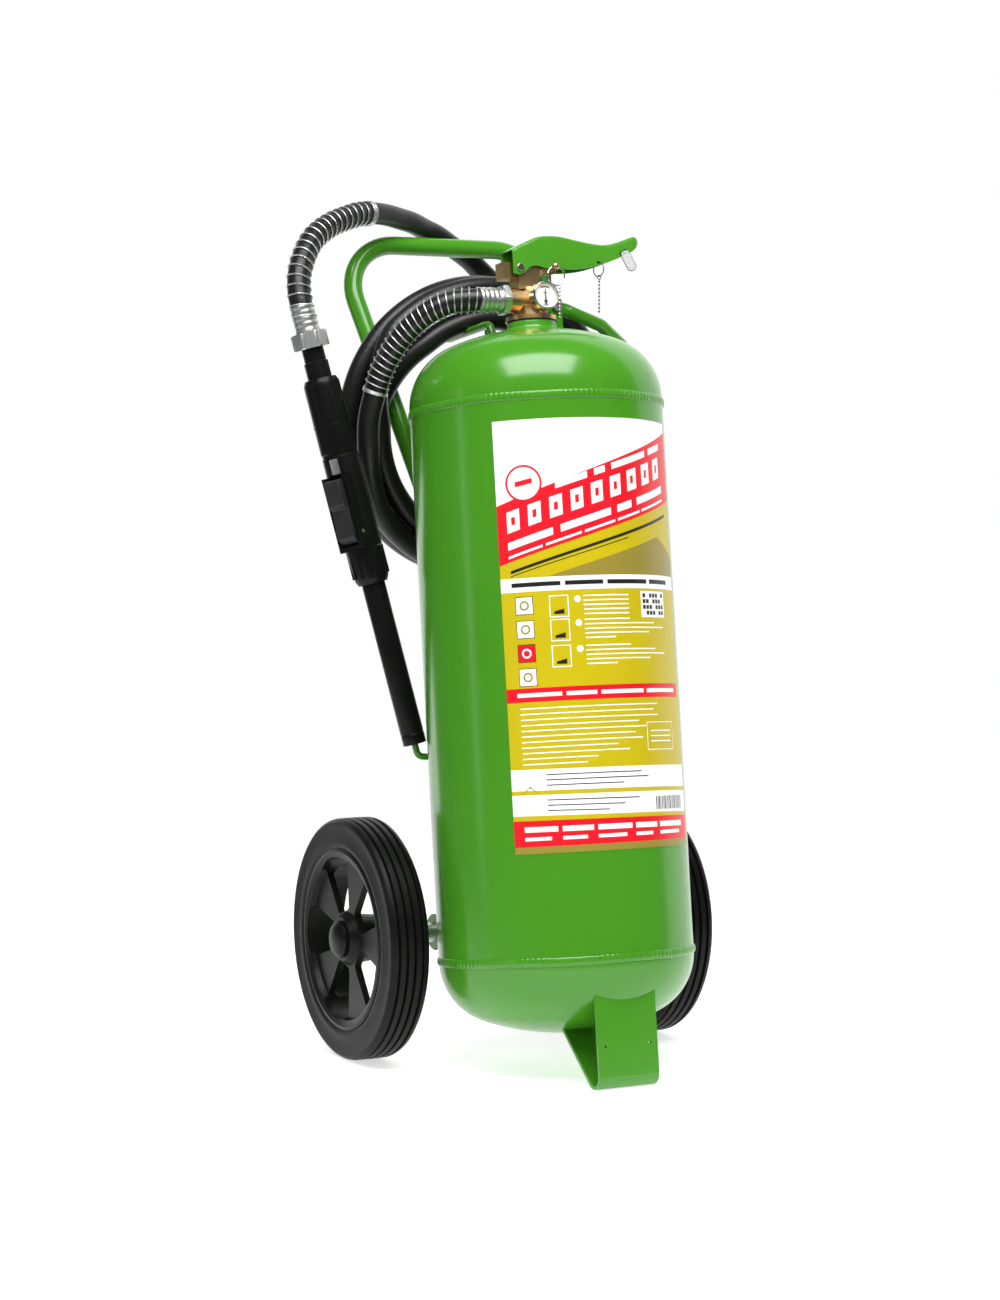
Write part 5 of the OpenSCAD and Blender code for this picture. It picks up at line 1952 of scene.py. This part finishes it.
    def _tag(self) -> None:
        """The clear tag and its dark rim."""
        f = self.finish
        fit_out(eased_copy("lever_tag", "loop_tag", 0.0002), "tag", "tag_plastic", f.tag,
                "lever_tag")
        oval = soften([(0, .003), (.0065, .003), (.0065, -.023), (-.0065, -.023), (-.0065, .003),
                       (0, .003)], .006, 8)
        place = CYLINDER.inside(turn_about(1, -28) @ FORWARD, (0.124, -0.0177, 0.947))
        line = place.put(np.column_stack([oval, np.zeros(len(oval))]))
        edge = tube(line, 0.0005, 10, place.turn[:, 2])
        fit_out(grids_to_mesh("tag_edge", [edge]), "tag", "chain_steel", f.dark)


# ---------- couplings and gun ----------

@dataclass(frozen=True)
class CouplingSizes:
    """A crimped hose end and its nut, in metres."""

    outer: float = 0.015
    bore: float = 0.009
    lip: float = 0.0005
    crimps: int = 4
    crimp_depth: float = 0.0005
    outlet_at: tuple[float, float, float] = (-0.040, 0, 0.888)
    outlet_length: float = 0.030
    outlet_flats: float = 0.0329
    outlet_nut: float = 0.008
    gun_at: float = 0.502
    gun_length: float = 0.033
    gun_flats: float = 0.0372
    gun_nut: float = 0.019


class Couplings:
    """The hose's crimped ends and hexagonal nuts."""

    def __init__(self, finish: Finishes, sizes: CouplingSizes = CouplingSizes()) -> None:
        """Keeps the finishes and sizes."""
        self.finish, self.sizes = finish, sizes

    def _ferrule(self, place: Place, length: float) -> Array:
        """A sleeve whose wall dips at each crimp: radius less depth * sin^2 along it.

        Args:
            place: where its foot and axis are.
            length: its length.

        Returns:
            The sleeve's grid of points.
        """
        s = self.sizes
        z = np.linspace(0.003, length - 0.002, 61)
        r = s.outer - s.lip - s.crimp_depth * np.sin(np.linspace(0, s.crimps * np.pi, 61)) ** 2
        foot = [(s.bore, 0), (s.outer - .0006, 0), (s.outer, .0006), (s.outer, .0024)]
        mouth = [(s.outer - .001, length - .0004), (s.outer - .0014, length), (s.bore, length),
                 (s.bore, 0)]
        return lathe(np.vstack([foot, np.stack([r, z], -1), mouth]), place, 72)

    def build(self) -> None:
        """Makes both ends of the hose."""
        s, zinc = self.sizes, self.finish.zinc
        back = CYLINDER.inside(turn_about(1, -90), s.outlet_at)
        front = CYLINDER.inside(turn_about(1, 90), s.outlet_at)
        outlet = grids_to_mesh("outlet_sleeve", [self._ferrule(back, s.outlet_length)], 34)
        fit_out(outlet, BODY, "zinc_plate", zinc, "outlet_ferrule")
        nut = hex_nut(front, s.outlet_flats, s.bore, 0, s.outlet_nut, 0.0015)
        fit_out(grids_to_mesh("outlet_hex", [nut], 30), BODY, "zinc_plate", zinc, "outlet_nut")
        gun_place = GUN.inside(np.eye(3), (0, 0, s.gun_at))
        sleeve = grids_to_mesh("gun_sleeve", [self._ferrule(gun_place, s.gun_length)], 34)
        fit_out(sleeve, BODY, "zinc_plate", zinc, "gun_ferrule")
        nut = hex_nut(GUN, s.gun_flats, s.bore, s.gun_at - s.gun_nut, s.gun_at, 0.0018)
        fit_out(grids_to_mesh("gun_hex", [nut], 30), BODY, "zinc_plate", zinc, "gun_nut")


@dataclass(frozen=True)
class GunSizes:
    """The lance of the gun, in metres."""

    lance_r: float = 0.014
    lance_bore: float = 0.011
    lance: float = 0.2396


class Gun:
    """The discharge gun: lance, collar, moulded body and trigger."""

    def __init__(self, finish: Finishes, sizes: GunSizes = GunSizes()) -> None:
        """Keeps the finishes and sizes."""
        self.finish, self.sizes = finish, sizes

    def build(self) -> None:
        """Makes the gun's pieces."""
        s, f = self.sizes, self.finish
        r, bore, top = s.lance_r, s.lance_bore, s.lance
        low = r - .0004
        line = [(bore, 0), (r, 0), (r, .012), (low, .0125), (low, .0135), (r, .014), (r, top),
                (bore, top), (bore, 0)]
        lance = grids_to_mesh("lance", [lathe(soften(line, .0004, 2), GUN, 72)])
        fit_out(lance, BODY, "gun_plastic", f.gun, "gun_lance")
        fit_out(eased_copy("gun_collar", "ribbed_collar", 0.0005), BODY, "gun_plastic", f.gun,
                "gun_collar")
        fit_out(eased_copy("gun_body", "gun_casing", 0.0011), BODY, "gun_plastic", f.gun,
                "gun_body")
        fit_out(eased_copy("gun_trigger", "trigger_blade", 0.0011), "trigger", "gun_plastic",
                f.trigger, "gun_trigger")
        inner, outer, low, high = .0205, .0222, .3885, .3905
        band = [(inner, low), (outer, low), (outer, high), (inner, high), (inner, low)]
        seam = lathe(soften(band, .0004, 2), GUN, 72)
        fit_out(grids_to_mesh("gun_seam_band", [seam]), BODY, "gun_plastic", f.gun)
        paint_node(f.zinc, "trigger_pin")
        paint_node(f.silver, "gun_sticker")


# ---------- the whole scene ----------

def build() -> None:
    """Makes the studio and then the object, hose first."""
    Studio().build()
    finish = Finishes()
    for group in (HoseLine, Vessel, PrintedLabel, PushBar, RunningGear, Valve, Couplings, Gun):
        LOG.info("Building %s", group.__name__)
        group(finish).build()


def main() -> None:
    """Builds the scene."""
    logging.basicConfig(level=logging.INFO, format="%(name)s: %(message)s")
    build()


if __name__ == "__main__":
    main()
